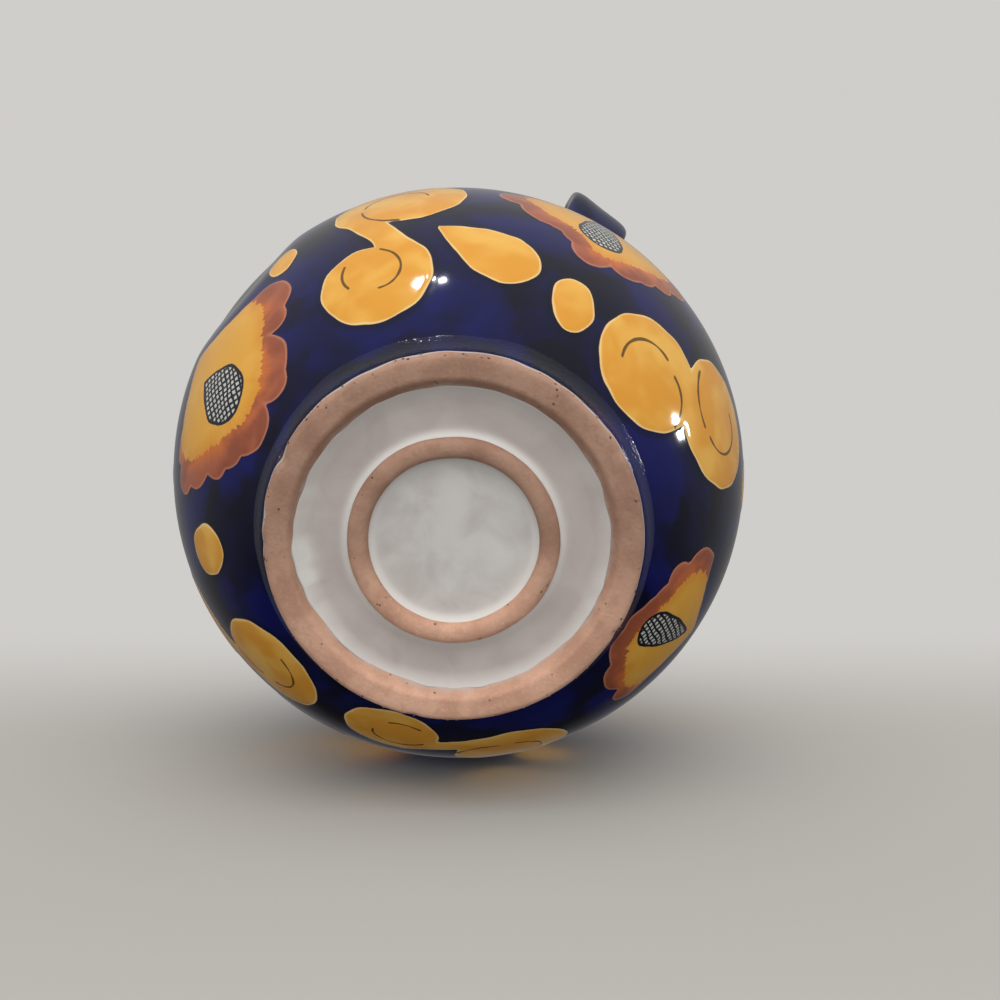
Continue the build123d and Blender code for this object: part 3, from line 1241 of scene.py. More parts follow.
@dataclass(frozen=True)
class Scroll:
    """An S-scroll: two curled heads and the band that crosses from one to the other."""

    spot: Spot
    lower: Head
    upper: Head
    curl: Curl
    band_ends: float = 6.2
    band_waist: float = 4.3
    edge_sway: float = 0.3

    def paint(self, paint: Paint) -> None:
        """Adds the scroll to the painting."""
        across, up = self.spot.chart(paint.rays, paint.radius)
        way = self.curl.value
        low, high = np.array(self.lower.middle), np.array(self.upper.middle)
        low_radius = self.lower.radii[0] - self.band_ends
        high_radius = self.upper.radii[0] - self.band_ends
        axis = math.atan2(high[1] - low[1], high[0] - low[0])
        lean = math.asin((low_radius + high_radius) / np.hypot(*(high - low)))
        square = axis + way * lean - way * math.pi / 2
        side = np.array((math.cos(square), math.sin(square)))
        low_join = math.atan2(side[1], side[0])
        high_join = low_join + math.pi
        gold = self._band(across, up, low + low_radius * side, high - high_radius * side)
        for head, join_angle in ((self.lower, low_join), (self.upper, high_join)):
            gold = np.maximum(gold, head.inside(across, up, join_angle, way))
            for route in head.routes(join_angle, way):
                paint.draw_line(across, up, route)
        paint.gold = np.maximum(paint.gold, gold + hand(across, up, self.edge_sway))

    def _band(self, across: Array, up: Array, start: Array, end: Array) -> Array:
        """How far points lie inside the band, which is narrowest half way."""
        run = end - start
        length = float(np.hypot(*run))
        tangent = run / length
        share = held(((across - start[0]) * tangent[0] + (up - start[1]) * tangent[1]) / length)
        width = self.band_waist + (self.band_ends - self.band_waist) * (2.0 * share - 1.0) ** 2
        return width - np.hypot(across - start[0] - share * run[0], up - start[1] - share * run[1])


@dataclass(frozen=True)
class Drop:
    """A teardrop: its round end's radius, its length to the tip, and the degrees at which the tip points."""

    spot: Spot
    round_end: float
    length: float
    heading: float
    swell: float = 1.6
    edge_sway: float = 0.3

    def paint(self, paint: Paint) -> None:
        """Adds the drop to the painting."""
        across, up = self.spot.chart(paint.rays, paint.radius)
        along, aside = turned(across, up, self.heading)
        gold = teardrop(along, aside, self.round_end, self.length, self.swell)
        paint.gold = np.maximum(paint.gold, gold + hand(across, up, self.edge_sway))


@dataclass(frozen=True)
class Leaf:
    """A small oval brush mark with half sizes and a lean in degrees."""

    spot: Spot
    wide: float
    high: float
    lean: float
    edge_sway: float = 0.4

    def paint(self, paint: Paint) -> None:
        """Adds the leaf to the painting."""
        across, up = self.spot.chart(paint.rays, paint.radius)
        gold = oval(*turned(across, up, self.lean), self.wide, self.high)
        paint.gold = np.maximum(paint.gold, gold + hand(across, up, self.edge_sway))


@dataclass(frozen=True)
class Decoration:
    """The painting's motifs, where the painter set them round the jar."""

    lying_climb: float = 21.0
    lying_middle: Point = (15.0, 4.0)
    lying_radii: Triple = (13.0, 12.5, 10.5)
    lying_band: Span = (4.4, 3.2)
    ring_climb: float = 44.0
    ring_pitch: float = 24.0
    ring_drop: Span = (4.4, 9.5)
    ring_side: int = 2

    def motifs(self) -> list[Sunflower | Scroll | Drop | Leaf]:
        """Every motif: those of the lower half, and the like ones of the upper half."""
        scrolls = self.large_scrolls() + self.lying_scrolls()
        return [*self.sunflowers(), *scrolls, *self.leaves(), *self.shoulder_ring()]

    def sunflowers(self) -> list[Sunflower]:
        """Flowers low on the front and back, under the handles, and high on the front and back."""
        back = (40.0, 34.5, 31.5, 31.5, 35.5, 36.0, 35.0, 36.5, 42.0)
        side = (39.0, 31.0, 25.5, 25.0, 31.0, 28.0, 27.5, 31.0, 38.0)
        front = (32.0, 27.0, 22.0, 21.5, 23.5, 25.0, 24.5, 27.0, 32.0)
        high = (36.0, 30.0, 27.0, 27.5, 30.5, 30.0, 27.5, 30.5, 37.0)
        return [
            Sunflower(Spot(86.0, -32.0), back, 30.0, 12.0, 11.0, (0.6, -8.6), 9.8, 17.0, 62.0, 9.0),
            Sunflower(Spot(177.5, -12.0), side, 31.0, 12.0, 9.0, (-1.0, -7.0), 8.4, 25.0, 30.0),
            Sunflower(Spot(267.0, -41.0), front, 27.0, 11.0, 7.5, (-0.8, -9.0), 6.8, 25.0, 62.0),
            Sunflower(Spot(358.0, -12.0), side, 31.0, 12.0, 9.0, (0.5, -8.0), 8.6, 25.0, 45.0),
            Sunflower(Spot(88.0, 15.0), high, 29.0, 12.0, 9.0, (0.5, -8.0), 8.4, 24.0, 38.0),
            Sunflower(Spot(268.0, 14.0), high, 30.0, 12.5, 9.5, (0.0, -8.0), 8.8, 24.0, 52.0),
        ]

    def large_scrolls(self) -> list[Scroll]:
        """The large S-scrolls of the lower half."""
        inner = (CurlLine((286.0, 344.0), (19.0, 10.8)), CurlLine((24.0, 150.0), (10.0, 12.0)))
        tight = (CurlLine((316.0, 452.0), (12.5, 6.5)), CurlLine((194.0, 246.0), (8.4, 11.5)))
        wide = (CurlLine((300.0, 368.0), (18.5, 14.5)), CurlLine((30.0, 190.0), (13.0, 9.5)))
        return [
            Scroll(
                Spot(133.5, -27.0),
                Head((-5.5, -21.0), (20.0, 18.3, 13.5), tight),
                Head((7.0, 25.5), (24.0, 23.5, 18.0), wide),
                Curl.FORWARD,
                band_ends=6.8,
                band_waist=4.9,
            ),
            Scroll(
                Spot(212.0, -34.5),
                Head((-17.0, -13.0), (21.5, 20.5, 20.5), inner),
                Head((12.5, 13.5), (27.0, 21.5, 22.5), wide),
                Curl.BACKWARD,
            ),
            Scroll(
                Spot(330.5, -40.5),
                Head((19.0, -8.5), (17.0, 16.5, 16.0), tight),
                Head((-22.0, 10.0), (21.5, 20.5, 19.0), inner),
                Curl.FORWARD,
            ),
            Scroll(
                Spot(19.5, -30.0),
                Head((0.0, -17.5), (20.5, 20.0, 18.0), inner),
                Head((20.0, 24.0), (19.0, 18.5, 16.5), tight),
                Curl.BACKWARD,
            ),
        ]

    def lying_scrolls(self) -> list[Scroll]:
        """The small S-scrolls that lie along the shoulder."""
        small = (CurlLine((300.0, 440.0), (9.0, 4.2)),)
        x, y = self.lying_middle
        turns = {132.0: Curl.BACKWARD, 222.0: Curl.FORWARD, 312.0: Curl.BACKWARD, 44.0: Curl.FORWARD}
        found = []
        for turn, curl in turns.items():
            lower = Head((-x * curl.value, -y), self.lying_radii, small)
            upper = Head((x * curl.value, y), self.lying_radii, small)
            found.append(Scroll(Spot(turn, self.lying_climb), lower, upper, curl, *self.lying_band))
        return found

    def leaves(self) -> list[Drop | Leaf]:
        """The loose drops and leaves between the large motifs."""
        return [
            Drop(Spot(159.0, -35.8), 11.3, 26.5, 150.0),
            Leaf(Spot(176.0, -41.0), 7.4, 11.0, 14.0),
            Leaf(Spot(112.0, -18.5), 6.0, 8.4, -12.0),
            Leaf(Spot(50.5, -38.0), 8.6, 11.0, 24.0),
            Leaf(Spot(200.0, 4.0), 6.0, 9.0, -20.0),
            Drop(Spot(310.0, -14.0), 9.5, 20.0, 60.0),
            Drop(Spot(238.0, -12.0), 8.5, 18.0, 115.0),
            Leaf(Spot(60.0, -8.0), 6.4, 9.2, 18.0),
        ]

    def shoulder_ring(self) -> list[Drop]:
        """Small drops that point up at the neck, clear of the handles."""
        found = []
        for middle in (90.0, 270.0):
            for number in range(-self.ring_side, self.ring_side + 1):
                spot = Spot(middle + self.ring_pitch * number, self.ring_climb)
                found.append(Drop(spot, *self.ring_drop, heading=90.0))
        return found


@dataclass(frozen=True)
class JarWall:
    """The jar's wall from the foot to the lip, thrown and painted, with its floor.

    The belly has one flat where it was held: pressed in by its depth over a core, and fading out
    at its reach.
    """

    form: JarForm
    glaze: CobaltGlaze
    columns: int = 480
    fine_step: float = 1.45
    coarse_step: float = 9.0
    sink: float = 0.15
    flat_spot: Spot = Spot(100.0, -5.5)
    flat_depth: float = 1.7
    flat_core: float = 12.0
    flat_reach: float = 30.0

    def profile(self) -> list[Point]:
        """The wall's section, from the floor's middle up the inside and down the outside."""
        form = self.form
        low_radius = math.sqrt(form.belly_radius**2 - (form.belly_height - form.recess) ** 2)
        return chained(
            form.inside(-self.sink, self.coarse_step),
            form.outside(self.fine_step, low_radius),
            straight((low_radius, form.recess), (0.0, form.recess), 27.0),
        )

    def build(self) -> None:
        """Turns the wall, paints it and sets it on the jar."""
        form = self.form
        piece = TurnedForm.make(
            "painted_wall", self.profile(), self.glaze.painted(), self.columns, form.throw
        )
        points = places(piece)
        rays = points - np.array((0.0, 0.0, form.belly_height))
        rays /= np.maximum(np.linalg.norm(rays, axis=1), TINY)[:, None]
        paint = Paint(rays, form.belly_radius)
        for motif in Decoration().motifs():
            motif.paint(paint)
        paint.write(piece)
        normals = np.zeros(len(points) * 3)
        piece.data.vertices.foreach_get("normal", normals)
        radius = polar(points)[1]
        outside = radius >= form.mouth - 1.0
        raised = np.where(outside, paint.relief() - self._flat(rays), 0.0)
        put(piece, points + normals.reshape(-1, 3) * raised[:, None])
        join(piece, Slot.COBALT, "lower_bowl", "shoulder_dome", "neck_collar")

    def _flat(self, rays: Array) -> Array:
        """How deep the wall is pressed in at each point."""
        away = np.hypot(*self.flat_spot.chart(rays, self.form.belly_radius))
        share = held((self.flat_reach - away) / (self.flat_reach - self.flat_core))
        return self.flat_depth * share**2 * (3.0 - 2.0 * share)


@dataclass(frozen=True)
class Lip:
    """The rolled lip, blue outside and white inside, with the two glazes meeting on its crest.

    It is tucked a little into the top of the neck.
    """

    form: JarForm
    glaze: CobaltGlaze
    white: WhiteGlaze
    columns: int = 240
    crest_round: float = 4.4
    under_round: float = 3.4
    round_step: float = 0.6
    tuck_depth: float = 1.6
    meeting: float = 3.6
    meeting_waver: Waver = Waver(0.9, 4, 3, 17)
    wear: float = 0.7
    wear_depth: float = 2.2
    wear_fade: float = 2.0

    def profile(self) -> list[Point]:
        """The lip's section, as radii and heights."""
        form = self.form
        inner, outer, neck = form.mouth - form.glaze, form.lip_radius, form.neck_top_radius
        low, high, crest, under = form.neck_top, form.lip_top, self.crest_round, self.under_round
        tucked = (inner + 0.5, low - self.tuck_depth)
        return chained(
            [tucked, (inner + 0.25, low - 0.6)],
            straight((inner, low), (inner, high - crest), 1.0),
            arc((inner + crest, high - crest), crest, 180.0, 90.0, self.round_step),
            arc((outer - crest, high - crest), crest, 90.0, 0.0, self.round_step),
            arc((outer - under, low + under), under, 0.0, -90.0, self.round_step),
            straight((outer - under, low), (neck - 0.4, low), 0.8),
            [(neck - 1.2, low - self.tuck_depth), tucked],
        )

    def build(self) -> None:
        """Turns the lip, marks where the glazes meet and sets it on the neck."""
        form = self.form
        material = self.glaze.plain("lip_glaze", self.white.white)
        piece = TurnedForm.make("rolled_lip", self.profile(), material, self.columns, form.throw)
        points = places(piece)
        angles, radius = polar(points)
        note(piece, "coat", form.mouth + self.meeting + self.meeting_waver.at(angles) - radius)
        crest = held((points[:, 2] - form.lip_top + self.wear_depth) / self.wear_fade)
        note(piece, "edge_wear", self.wear * crest)
        join(piece, Slot.COBALT, "rim_lip")


@dataclass(frozen=True)
class Lining:
    """The white glaze inside the jar, a thin closed coat that is thickest high up."""

    form: JarForm
    white: WhiteGlaze
    columns: int = 200
    step: float = 4.0
    pool_height: float = 60.0
    pool_limits: Span = (0.15, 0.8)

    def build(self) -> None:
        """Turns the lining and sets it in the jar."""
        form = self.form
        skin = form.inside(form.glaze, self.step)
        back = form.inside(0.05, 8.0)[::-1]
        material = self.white.dressed("inner_white_glaze")
        piece = TurnedForm.make("inner_lining", chained(skin, back), material, self.columns, form.throw)
        height = places(piece)[:, 2] - form.floor
        note(piece, "pool", np.clip(height / self.pool_height, *self.pool_limits))
        join(piece, Slot.WHITE, "inner_glaze")


@dataclass(frozen=True)
class Chip:
    """A bite out of the foot's outer edge: degrees round from +X, its depth, and its reach in radians."""

    turn: float
    depth: float
    reach: float


@dataclass(frozen=True)
class FootRing:
    """The wide ring, trimmed by hand: a wavering edge, flats and chips, and glaze on its outer wall.

    Its section has a hollow outer wall, a rounded face that stands on the ground and a sloped inner
    wall. Points of the section are radii and heights.
    """

    form: JarForm
    clay: BareClay
    glaze: CobaltGlaze
    throw: Throw = Throw(0.9, 26.0, 2.0)
    root_overhang: float = 1.4
    wall_pull: Point = (59.4, 8.2)
    wall_low: Point = (58.6, 4.0)
    edge_pull: Point = (58.3, 0.9)
    edge_low: Point = (56.6, 0.25)
    face_outer: float = 54.0
    face_inner: float = 51.6
    slope_pull: float = 50.5
    slope_top: Point = (49.9, 1.0)
    face_lift: float = 0.12
    step: float = 0.6
    trim: Waver = Waver(0.16, 11, 3, 23)
    trim_height: float = 8.0
    chips: tuple[Chip, ...] = (
        Chip(85.0, 1.5, 0.05),
        Chip(58.0, 0.8, 0.04),
        Chip(268.0, 0.9, 0.03),
        Chip(341.0, 0.7, 0.035),
    )
    chip_radii: Span = (54.0, 58.0)
    chip_height: float = 5.0
    coat_radius: float = 58.75
    coat_height: float = 2.6
    coat_waver: Waver = Waver(0.45, 7, 4, 40)
    coat_climb: float = 2.0

    def profile(self) -> list[Point]:
        """The ring's section, as radii and heights."""
        form, lift = self.form, self.face_lift
        root_radius = form.foot_flare + self.root_overhang
        belly = form.belly_height - math.sqrt(form.belly_radius**2 - root_radius**2)
        root = (root_radius, belly + 0.3)
        edge_pull, edge_low = ((x, z + lift) for x, z in (self.edge_pull, self.edge_low))
        outer, inner = (self.face_outer, lift), (self.face_inner, lift)
        return chained(
            curve(root, self.wall_pull, self.wall_low, 14),
            curve(self.wall_low, edge_pull, edge_low, 10),
            curve(edge_low, (55.4, lift), outer, 6),
            straight(outer, inner, self.step),
            curve(inner, (self.slope_pull, lift), self.slope_top, 8),
            straight(self.slope_top, (form.slope_foot, form.recess), self.step),
            [(form.slope_foot, form.recess + 1.0), (60.0, belly + 1.2), root],
        )

    def build(self) -> None:
        """Turns the ring, trims it, marks its glaze and sets it under the jar."""
        material = self.clay.glazed_outside(self.glaze)
        piece = TurnedForm.make(
            "foot_ring_clay", self.profile(), material, self.form.foot_columns, self.throw
        )
        points = places(piece)
        angles, radius = polar(points)
        raised = self.trim.height + self.trim.at(angles)
        points[:, 2] += raised * held((self.trim_height - points[:, 2]) / self.trim_height)
        near_edge = held((radius - self.chip_radii[0]) / (self.chip_radii[1] - self.chip_radii[0]))
        near_edge = near_edge * held((self.chip_height - points[:, 2]) / self.chip_height)
        for chip in self.chips:
            bite = chip.depth * bell(apart(angles, chip.turn), chip.reach) * near_edge
            move_out(points, angles, -bite)
        put(piece, points)
        waver = self.coat_waver.at(angles)
        climbed = points[:, 2] - self.coat_height - self.coat_climb * waver
        coat = np.maximum(radius - self.coat_radius - waver, climbed)
        outer = radius > 0.5 * (self.edge_low[0] + self.slope_pull)
        note(piece, "coat", np.where(outer, coat, -5.0))
        note(piece, "slope", held((self.slope_pull - radius) / 3.4))
        join(piece, Slot.CLAY, "foot_ring")


@dataclass(frozen=True)
class InnerRing:
    """The narrow ring: a round-nosed coil with a wiped face."""

    form: JarForm
    clay: BareClay
    throw: Throw = Throw(0.8, 20.0, 6.0)
    nose_height: float = 3.4
    wiped: Waver = Waver(0.12, 21, 3, 15)
    wiped_height: float = 5.0

    def profile(self) -> list[Point]:
        """The ring's section, as radii and heights."""
        form, nose = self.form, self.nose_height
        inner, outer, low, high = form.ring_inner, form.ring_outer, form.ring_low, form.recess + 0.8
        middle = 0.5 * (inner + outer)
        return chained(
            straight((outer, high), (outer, nose), 0.8),
            curve((outer, nose), (outer - 0.3, low), (middle, low), 14),
            curve((middle, low), (inner + 0.3, low), (inner, nose), 14),
            straight((inner, nose), (inner, high), 0.8),
            [(outer, high)],
        )

    def build(self) -> None:
        """Turns the ring, wipes its face and sets it under the jar."""
        material = self.clay.plain("inner_ring_clay")
        piece = TurnedForm.make(
            "inner_ring_clay", self.profile(), material, self.form.foot_columns, self.throw
        )
        points = places(piece)
        raised = self.wiped.height + self.wiped.at(polar(points)[0])
        points[:, 2] += raised * held((self.wiped_height - points[:, 2]) / self.wiped_height)
        put(piece, points)
        join(piece, Slot.CLAY, "inner_foot_ring")


@dataclass(frozen=True)
class GlazeBetween:
    """The white glaze between the rings, pooled at the inner ring and lapping up the wide ring's slope.

    It spilled over the slope in one place. Its laps run outwards and down along the slope.
    """

    form: JarForm
    white: WhiteGlaze
    throw: Throw = Throw(0.5, 18.0, 9.0)
    thinness: float = 0.6
    sweep: float = 3.0
    curve_steps: int = 10
    spill_turn: float = 53.0
    spill_reach: float = 0.34
    spill_length: float = 2.6
    spill_waver: Waver = Waver(0.9, 23, 9, 37)
    lap_length: float = 0.6
    lap_waver: Waver = Waver(0.6, 13, 5, 41)
    lap_limits: Span = (-0.4, 4.4)
    lap_run: Span = (0.55, 0.83)
    ripple: Waver = Waver(0.12, 17, 4, 19)
    patch_waver: Waver = Waver(1.0, 31, 9, 41)

    def visible(self) -> list[Point]:
        """The glaze's lower face, from its edge on the slope to the inner ring."""
        level, slope, ring = self.form.glaze_level, self.form.slope_foot, self.form.ring_outer
        edge = (slope + 1.7, level - 1.5)
        edge_pull = (slope - 0.3, level - 0.05)
        outer, inner = (slope - self.sweep, level), (ring + self.sweep, level)
        ring_pull = (ring + 0.5, level - 0.1)
        end = (ring - 0.2, level - 1.6)
        return chained(
            curve(edge, edge_pull, outer, self.curve_steps),
            straight(outer, inner, 1.0),
            curve(inner, ring_pull, end, self.curve_steps),
        )

    def build(self) -> None:
        """Turns the glaze, laps it over the slope, marks its pools and sets it under the jar."""
        form, visible = self.form, self.visible()
        back = form.recess + 0.4
        hidden = [(form.ring_outer - 0.6, back), (form.slope_foot - 0.4, back)]
        profile = chained(visible, hidden, visible[:1])
        material = self.white.dressed("base_white_glaze", self.thinness)
        piece = TurnedForm.make("base_glaze_between", profile, material, form.foot_columns, self.throw)
        points = places(piece)
        rows = row_numbers(piece)
        angles = polar(points)[0]
        near_edge = held(1.0 - rows / self.curve_steps)
        near_edge = np.where(rows == len(profile) - 1, 1.0, near_edge)
        from_spill = apart(angles, self.spill_turn)
        spill = bell(from_spill, self.spill_reach) * (self.spill_length + self.spill_waver.at(angles))
        lap = np.clip(self.lap_length + self.lap_waver.at(angles) + spill, *self.lap_limits) * near_edge
        move_out(points, angles, self.lap_run[0] * lap)
        points[:, 2] -= self.lap_run[1] * lap
        points[:, 2] += self.ripple.at(angles) * (rows < len(visible))
        put(piece, points)
        radius = polar(points)[1]
        pooled = bell(radius - form.ring_outer - 0.6, 1.6)
        patchy = held(0.4 + self.patch_waver.at(angles))
        patchy *= bell(from_spill, 0.42)
        patchy *= bell(radius - form.slope_foot + 0.6, 3.2)
        note(piece, "pool", held(pooled + 0.7 * near_edge + patchy))
        join(piece, Slot.WHITE, "base_glaze_ring")


@dataclass(frozen=True)
class GlazeMiddle:
    """The white glaze inside the inner ring, smooth and bare."""

    form: JarForm
    white: WhiteGlaze
    throw: Throw = Throw(0.3, 15.0, 12.0)
    sweep: float = 3.0

    def profile(self) -> list[Point]:
        """The glaze's section, from the middle of its back round to the middle of its face."""
        level, ring, back = self.form.glaze_level, self.form.ring_inner, self.form.recess + 0.4
        edge = (ring + 0.2, level - 1.5)
        pull = (ring - 0.5, level - 0.1)
        inner = (ring - self.sweep, level)
        return chained(
            [(0.0, back), (ring + 0.6, back)],
            curve(edge, pull, inner, 10),
            straight(inner, (0.0, level), 1.6),
        )

    def build(self) -> None:
        """Turns the glaze, marks its pool and sets it under the jar."""
        material = self.white.dressed("disc_white_glaze")
        columns = self.form.foot_columns // 2
        piece = TurnedForm.make("base_glaze_middle", self.profile(), material, columns, self.throw)
        radius = polar(places(piece))[1]
        pooled = bell(radius - self.form.ring_inner + 0.8, 1.6)
        note(piece, "pool", held(0.12 + pooled))
        join(piece, Slot.WHITE, "base_glaze_disc")


@dataclass(frozen=True)
class Grit:
    """Dark grains baked into the wide ring's rounded edge: so many to a square metre, between two sizes."""

    clay: BareClay
    start: Point = (58.45, 3.0)
    pull: Point = (58.2, 1.2)
    end: Point = (56.6, 0.62)
    density: float = 70000.0
    smallest: float = 0.16
    largest: float = 0.55
    seed: int = 5
    shape: Triple = (1.0, 0.75, 0.42)

    def _tree(self) -> Tree:
        """A tree that strews small crushed grains over a patch of clay."""
        inputs = {
            "Patch": "NodeSocketGeometry",
            "Density": "NodeSocketFloat",
            "Smallest": "NodeSocketFloat",
            "Largest": "NodeSocketFloat",
            "Seed": "NodeSocketInt",
            "Finish": "NodeSocketMaterial",
        }
        wire, given = start_tree("strewn_grit", inputs)
        inputs = {"Mesh": given["Patch"], "Density": given["Density"], "Seed": given["Seed"]}
        strewn = wire.node("GeometryNodeDistributePointsOnFaces", inputs)
        grain = wire.node("GeometryNodeMeshIcoSphere", {"Radius": 1.0, "Subdivisions": 2})
        inputs = {2: given["Smallest"], 3: given["Largest"], "Seed": given["Seed"]}
        size = wire.node("FunctionNodeRandomValue", inputs, data_type="FLOAT")
        inputs = {
            "Points": strewn.outputs["Points"],
            "Instance": grain.outputs["Mesh"],
            "Rotation": strewn.outputs["Rotation"],
            "Scale": wire.scaled(self.shape, size.outputs[1]),
        }
        placed = wire.node("GeometryNodeInstanceOnPoints", inputs)
        return end_tree(wire, placed.outputs[0], given["Finish"])

    def build(self) -> None:
        """Strews the grains and sets them on the ring."""
        line = curve(self.start, self.pull, self.end, 6)
        patch = TurnedForm.make("foot_grit", line, self.clay.plain("grit_backing"), 180)
        given = {
            "Density": self.density,
            "Smallest": self.smallest * MM,
            "Largest": self.largest * MM,
            "Seed": self.seed,
            "Finish": self.clay.grains("foot_grit", Mottle(3.0, 0.35, 0.65), 0.8),
        }
        apply_nodes(patch, self._tree(), given)
        join(patch, Slot.CLAY)


@dataclass(frozen=True)
class StrapHandle:
    """A pulled strap handle, luted under the lip and on the shoulder, as one smooth skin.

    The side is 1 or -1 along X. The twist is how far one edge of the bow stands out, as a share of the
    width, and the shift is how far the bow leans to one side. A sway has a height, radians to the
    millimetre and a start.
    """

    form: JarForm
    glaze: Material
    name: str
    node: str
    side: int
    twist: float
    shift: float
    width: float = 27.0
    thickness: float = 9.0
    root_depth: float = 2.2
    root_drop: float = 8.5
    crown_rise: float = 7.0
    bow_drop: float = 34.0
    bend: float = 22.0
    landing_angle: float = 30.0
    landing_depth: float = 3.5
    fillet: float = 4.6
    fillet_rise: float = 3.4
    squareness: float = 4.5
    joint_squareness: float = 2.7
    joint_reach: float = 11.0
    hollow: float = 0.07
    sways: tuple[Triple, ...] = ((0.35, 0.09, 1.3), (0.2, 0.31, 0.0))
    wear: Span = (0.28, 0.68)
    wear_edge: Span = (0.55, 0.85)
    around: int = 72
    step: float = 1.1

    def on_shoulder(self, angle: float, lift: float) -> Array:
        """A place on the shoulder's arc, at an angle in degrees and raised by a lift."""
        radius = self.form.shoulder_arc + lift
        x = self.form.shoulder_centre[0] + radius * math.cos(math.radians(angle))
        return np.array((x, self.form.belly_height + radius * math.sin(math.radians(angle))))

    def route(self) -> Array:
        """The strap's middle line in the XZ plane, from inside the neck down into the shoulder."""
        reach = self.form.handle_reach - self.thickness / 2
        start = np.array((self.form.neck_waist - self.root_depth, self.form.neck_top - self.root_drop))
        crown = np.array((reach, start[1] + self.crown_rise))
        drop = np.array((reach, crown[1] - self.bow_drop))
        landing = self.on_shoulder(self.landing_angle, -self.landing_depth)
        line = [start, *self._rounded(start, crown, drop), *self._rounded(crown, drop, landing), landing]
        return self._even(np.array(line))

    def _rounded(self, before: Array, corner: Array, after: Array) -> list[Array]:
        """The arc that rounds one corner of the route."""
        into, out = corner - before, after - corner
        into, out = into / np.hypot(*into), out / np.hypot(*out)
        turn = math.acos(float(np.clip(into @ out, -1.0, 1.0)))
        cut = self.bend * math.tan(turn / 2)
        middle = corner + (out - into) / np.hypot(*(out - into)) * self.bend / math.cos(turn / 2)
        first, last = corner - into * cut - middle, corner + out * cut - middle
        steps = max(6, math.ceil(turn * self.bend / self.step))
        shares = [i / steps for i in range(steps + 1)]
        swings = [math.sin((1 - s) * turn) * first + math.sin(s * turn) * last for s in shares]
        return [middle + swing / math.sin(turn) for swing in swings]

    def _even(self, line: Array) -> Array:
        """The same line with evenly spaced points."""
        lengths = np.concatenate(([0.0], np.cumsum(np.hypot(*np.diff(line, axis=0).T))))
        at = np.linspace(0.0, lengths[-1], math.ceil(lengths[-1] / self.step) + 1)
        return np.stack([np.interp(at, lengths, line[:, k]) for k in (0, 1)], axis=1)

    def build(self) -> None:
        """Sweeps the strap's section along its route, flares both ends and sets it on the jar."""
        line = self.route()
        count = len(line)
        tangent = np.gradient(line, axis=0)
        tangent /= np.hypot(*tangent.T)[:, None]
        outward = np.stack((-tangent[:, 1], tangent[:, 0]), axis=1)
        length = np.arange(count) * self.step
        to_joint = np.minimum(length, length[-1] - length)
        rounder = (self.squareness - self.joint_squareness) * bell(to_joint, self.joint_reach)
        powers = 2.0 / (self.squareness - rounder)
        from_neck = line[:, 0] - self.form.neck_waist
        bow = held(from_neck / from_neck.max())
        angles = np.linspace(0.0, math.tau, self.around, endpoint=False)
        rings = []
        for i in range(count):
            across = np.sign(np.cos(angles)) * np.abs(np.cos(angles)) ** powers[i]
            rise = np.sign(np.sin(angles)) * np.abs(np.sin(angles)) ** powers[i]
            hollow = self.hollow * np.cos(np.clip(across, -1.0, 1.0) * math.pi / 2) ** 2 * (rise > 0)
            sway = sum(height * math.sin(rate * length[i] + start) for height, rate, start in self.sways)
            aside = 0.5 * self.width * across + sway + self.shift * bow[i]
            depth = 0.5 * self.thickness * (rise - hollow)
            swell = 1.0 + self._fillet(line[i], outward[i], aside, depth) / np.hypot(aside, depth)
            x = line[i, 0] + swell * depth * outward[i, 0] + self.twist * bow[i] ** 2 * aside
            z = line[i, 1] + swell * depth * outward[i, 1]
            rings.append(np.stack((self.side * x, swell * aside, z), axis=1))
        self._skin(np.concatenate(rings), count)

    def _fillet(self, middle: Array, outward: Array, aside: Array, depth: Array) -> Array:
        """How much the clay pressed round the joints swells a ring of the strap, by its nearness to the jar.

        Args:
            middle: the ring's middle in the XZ plane.
            outward: the ring's direction away from the jar in that plane.
            aside: each point's place across the strap.
            depth: each point's place along the outward direction.

        Returns:
            Each point's swell.
        """
        form = self.form
        reach = np.hypot(middle[0] + depth * outward[0], aside)
        height = middle[1] + depth * outward[1]
        shoulder = np.hypot(reach - form.shoulder_centre[0], height - form.belly_height) - form.shoulder_arc
        neck = form.neck_arc - np.hypot(reach - form.neck_centre[0], height - form.neck_centre[1])
        near = np.minimum(shoulder, np.where(reach < form.neck_centre[0], neck, shoulder))
        return self.fillet * np.exp(-np.clip(near, 0.0, None) / self.fillet_rise)

    def _skin(self, points: Array, count: int) -> None:
        """Makes the strap's closed mesh and sets it on the jar."""
        around = self.around
        faces = [tuple(range(around))[::-1], tuple(range((count - 1) * around, count * around))]
        for i in range(count - 1):
            for j in range(around):
                k = (j + 1) % around
                faces.append((i * around + k, (i + 1) * around + k, (i + 1) * around + j, i * around + j))
        if self.side < 0:
            faces = [face[::-1] for face in faces]
        mesh = bpy.data.meshes.new(self.name)
        mesh.from_pydata([tuple(p) for p in points * MM], [], faces)
        mesh.update()
        mesh.shade_smooth()
        mesh.materials.append(self.glaze)
        piece = add_object(self.name, mesh)
        edge = np.abs(np.tile(np.cos(np.linspace(0.0, math.tau, around, endpoint=False)), count))
        worn = held((edge - self.wear_edge[0]) / (self.wear_edge[1] - self.wear_edge[0]))
        note(piece, "edge_wear", self.wear[0] + worn * (self.wear[1] - self.wear[0]))
        join(piece, Slot.COBALT, self.node)


